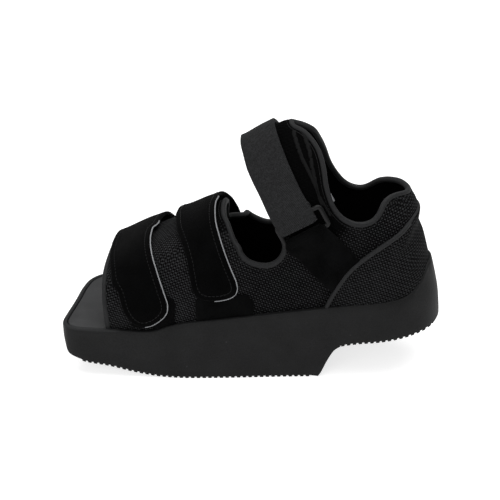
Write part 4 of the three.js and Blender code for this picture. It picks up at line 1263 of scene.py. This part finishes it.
def ring_fold(name, up, inward):
    """The webbing's turn round one long bar of the ring, as a rounded sleeve that reaches a way inward."""
    width = RING_BAR + 2 * (RING_CLEARANCE + FOLD_THICKNESS) + inward
    height = RING_THICKNESS + 2 * (RING_CLEARANCE + FOLD_THICKNESS)
    outer = round_corners(width, height, 0.0024)
    inner = round_corners(width - 2 * FOLD_THICKNESS, height - 2 * FOLD_THICKNESS, 0.0009)
    count = len(outer)
    rings = []
    for outline, place in ((inner, -1), (outer, -0.97), (outer, 0.97), (inner, 1)):
        length = np.full(count, place * FOLD_LENGTH / 2 + FOLD_SHIFT)
        middle = up * (RING_WIDTH - RING_BAR - inward) / 2
        rings.append(np.column_stack([length, outline[:, 1], outline[:, 0] + middle]))
    index = np.arange(4 * count).reshape(4, count)
    after = np.roll(index, -1, axis=0)
    quads = np.stack([index, np.roll(index, -1, axis=1), np.roll(after, -1, axis=1), after], axis=2)
    spread = np.vstack([ring[:, [0, 2]] for ring in rings])
    return made_object(name, in_ring(np.vstack(rings)), quads.reshape(-1, 4)[:, ::-1], spread)


def lift_over_ring(cloth, up, lift):
    """Raises a strap's near side where it passes over the ring's upper or lower bar."""
    heights = ((cloth.data[:, :3] - ring_middle) @ ring_turn)[:, 2]
    cloth.data[:, 6] += lift * eased(-up * heights, -0.026, -0.012) * (cloth.data[:, 1] > 0)


anchor_outline = side([
    [-8.7, 58.2], [-9.1, 55.4], [-11.6, 52], [-15.2, 45.6], [-19.2, 39.6], [-22.2, 35], [-34, 44],
    [-27.6, 51.2], [-23.3, 58.1], [-20.4, 63.2], [-19.2, 64.8], [-18.2, 66.8],
])
anchor_cloth = Cloth()
anchor_cloth.keep(anchor_cloth.at(0)[:, 1] - 0.01)
lift_over_ring(anchor_cloth, -1, OVER_RING + BAND_THICKNESS)
middle = BAND_FROM + BAND_THICKNESS / 2
anchor_cloth.keep_inside(anchor_outline, middle, inward=BAND_THICKNESS / 2)
anchor_cloth.keep_outside(inside_counter(-GAP), middle)
anchor_sheet = thick_piece("anchor_sheet", anchor_cloth, BAND_FROM, BAND_FROM + BAND_THICKNESS)
anchor = joined_pieces("anchor_webbing", [anchor_sheet, ring_fold("anchor_fold", -1, 0)])
faced(anchor, loop_fleece("anchor_loops", 0.0006, 0.0035))
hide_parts("anchor_band")
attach(anchor, "root")

strap_front = [
    [3.6, 104], [3.6, 91.6], [3.4, 90.2], [2.6, 87.5], [1.4, 82.9], [-0.3, 78.5], [-2.2, 74.1], [-4, 69.4],
]
strap_rear = [
    [-13.8, 74.3], [-12.2, 78], [-10.6, 82.3], [-9, 86.6], [-7.6, 90.8], [-6.4, 94.2], [-5.5, 97],
    [-4.8, 99.1], [-4.8, 104],
]
under_end = [[-5.4, 66.5], [-6.9, 65.4], [-15.4, 72]]
over_end = [[-5.4, 66.2], [-6.7, 63.1], [-8.1, 60.6], [-17, 67.4], [-15.5, 70.7]]
doubled = side([*strap_front, *under_end, *strap_rear])
outermost = side([*strap_front, *over_end, *strap_rear])
single = side([
    *strap_front, [-8.2, 60], [-10.5, 53.5], [-15, 46.7], [-19.8, 41], [-24, 34], [-34, 44], [-27.2, 52],
    [-22.6, 57.8], [-19.6, 63], [-16.8, 68.6], *strap_rear,
])
layers = []
for name, near, from_layer, end in (("under", doubled, 0, None), ("over", outermost, 1, DOUBLED_END)):
    low = BAND_FROM + from_layer * BAND_THICKNESS
    high = low + BAND_THICKNESS * 0.97
    cloth = strap_cloth(near, single, low, high, 0)
    if from_layer:
        lift_over_ring(cloth, 1, OVER_RING)
    if end is not None:
        cloth.keep(cloth.at(low)[:, 1] - end)
    cloth.keep_outside(inside_counter(-GAP), (low + high) / 2)
    layers.append(thick_piece("strap_" + name, cloth, low, high))
layers.append(ring_fold("strap_fold", 1, 0.0025))
ankle = joined_pieces("ankle_webbing", layers)
faced(ankle, woven_webbing())
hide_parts("ankle_strap")
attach(ankle, "root")


# Studio: a plain pale floor, soft light from all round with two large lamps, and a camera at the
# photograph's angle, raised over the shoe's near side and aimed at its middle.
AIM = np.array([0.0035, 0, 0.088])
SENSOR_WIDTH = 36
IMAGE_PIXELS = 500
FOCAL_PIXELS = 1262
floor = prism("floor", np.array([[-6, -6], [6, -6], [6, 6], [-6, 6]]), -0.01, -0.0002, along="z")
pale = Finish("pale_floor", 0.9, specular=0.1)
pale.shader.inputs["Emission Color"].default_value = (1, 1, 1, 1)
pale.shader.inputs["Emission Strength"].default_value = 0.75
floor.data.materials.append(pale.done(pale.ramp(pale.noise(3), (0.5, 0.5, 0.5), (0.54, 0.54, 0.54))))

world = bpy.data.worlds.new("studio")
world.use_nodes = True
world.node_tree.nodes["Background"].inputs["Color"].default_value = (1, 1, 1, 1)
world.node_tree.nodes["Background"].inputs["Strength"].default_value = 0.36
bpy.context.scene.world = world

for name, place, size, power in (
    ("lamp_above", (-0.1, -0.2, 1.8), 2.4, 50),
    ("lamp_near_side", (0.6, 1.6, 1.1), 1.0, 10),
):
    lamp = bpy.data.lights.new(name, "AREA")
    lamp.size = size
    lamp.energy = power
    holder = bpy.data.objects.new(name, lamp)
    bpy.context.scene.collection.objects.link(holder)
    holder.location = place
    away = np.array(place) - AIM
    holder.rotation_euler = (
        math.atan2(math.hypot(away[0], away[1]), away[2]), 0, math.atan2(away[1], away[0]) + math.pi / 2,
    )

camera_data = bpy.data.cameras.new("camera")
camera_data.sensor_width = SENSOR_WIDTH
camera_data.lens = SENSOR_WIDTH * FOCAL_PIXELS / IMAGE_PIXELS
camera_data.clip_start = 0.05
camera = bpy.data.objects.new("camera", camera_data)
bpy.context.scene.collection.objects.link(camera)
yaw = math.radians(4)
rise = math.radians(26)
back = np.array([-math.sin(yaw) * math.cos(rise), math.cos(yaw) * math.cos(rise), math.sin(rise)])
camera.location = AIM + back
camera.rotation_euler = (math.pi / 2 - rise, 0, math.pi + yaw)
bpy.context.scene.camera = camera
bpy.context.scene.view_settings.view_transform = "Standard"
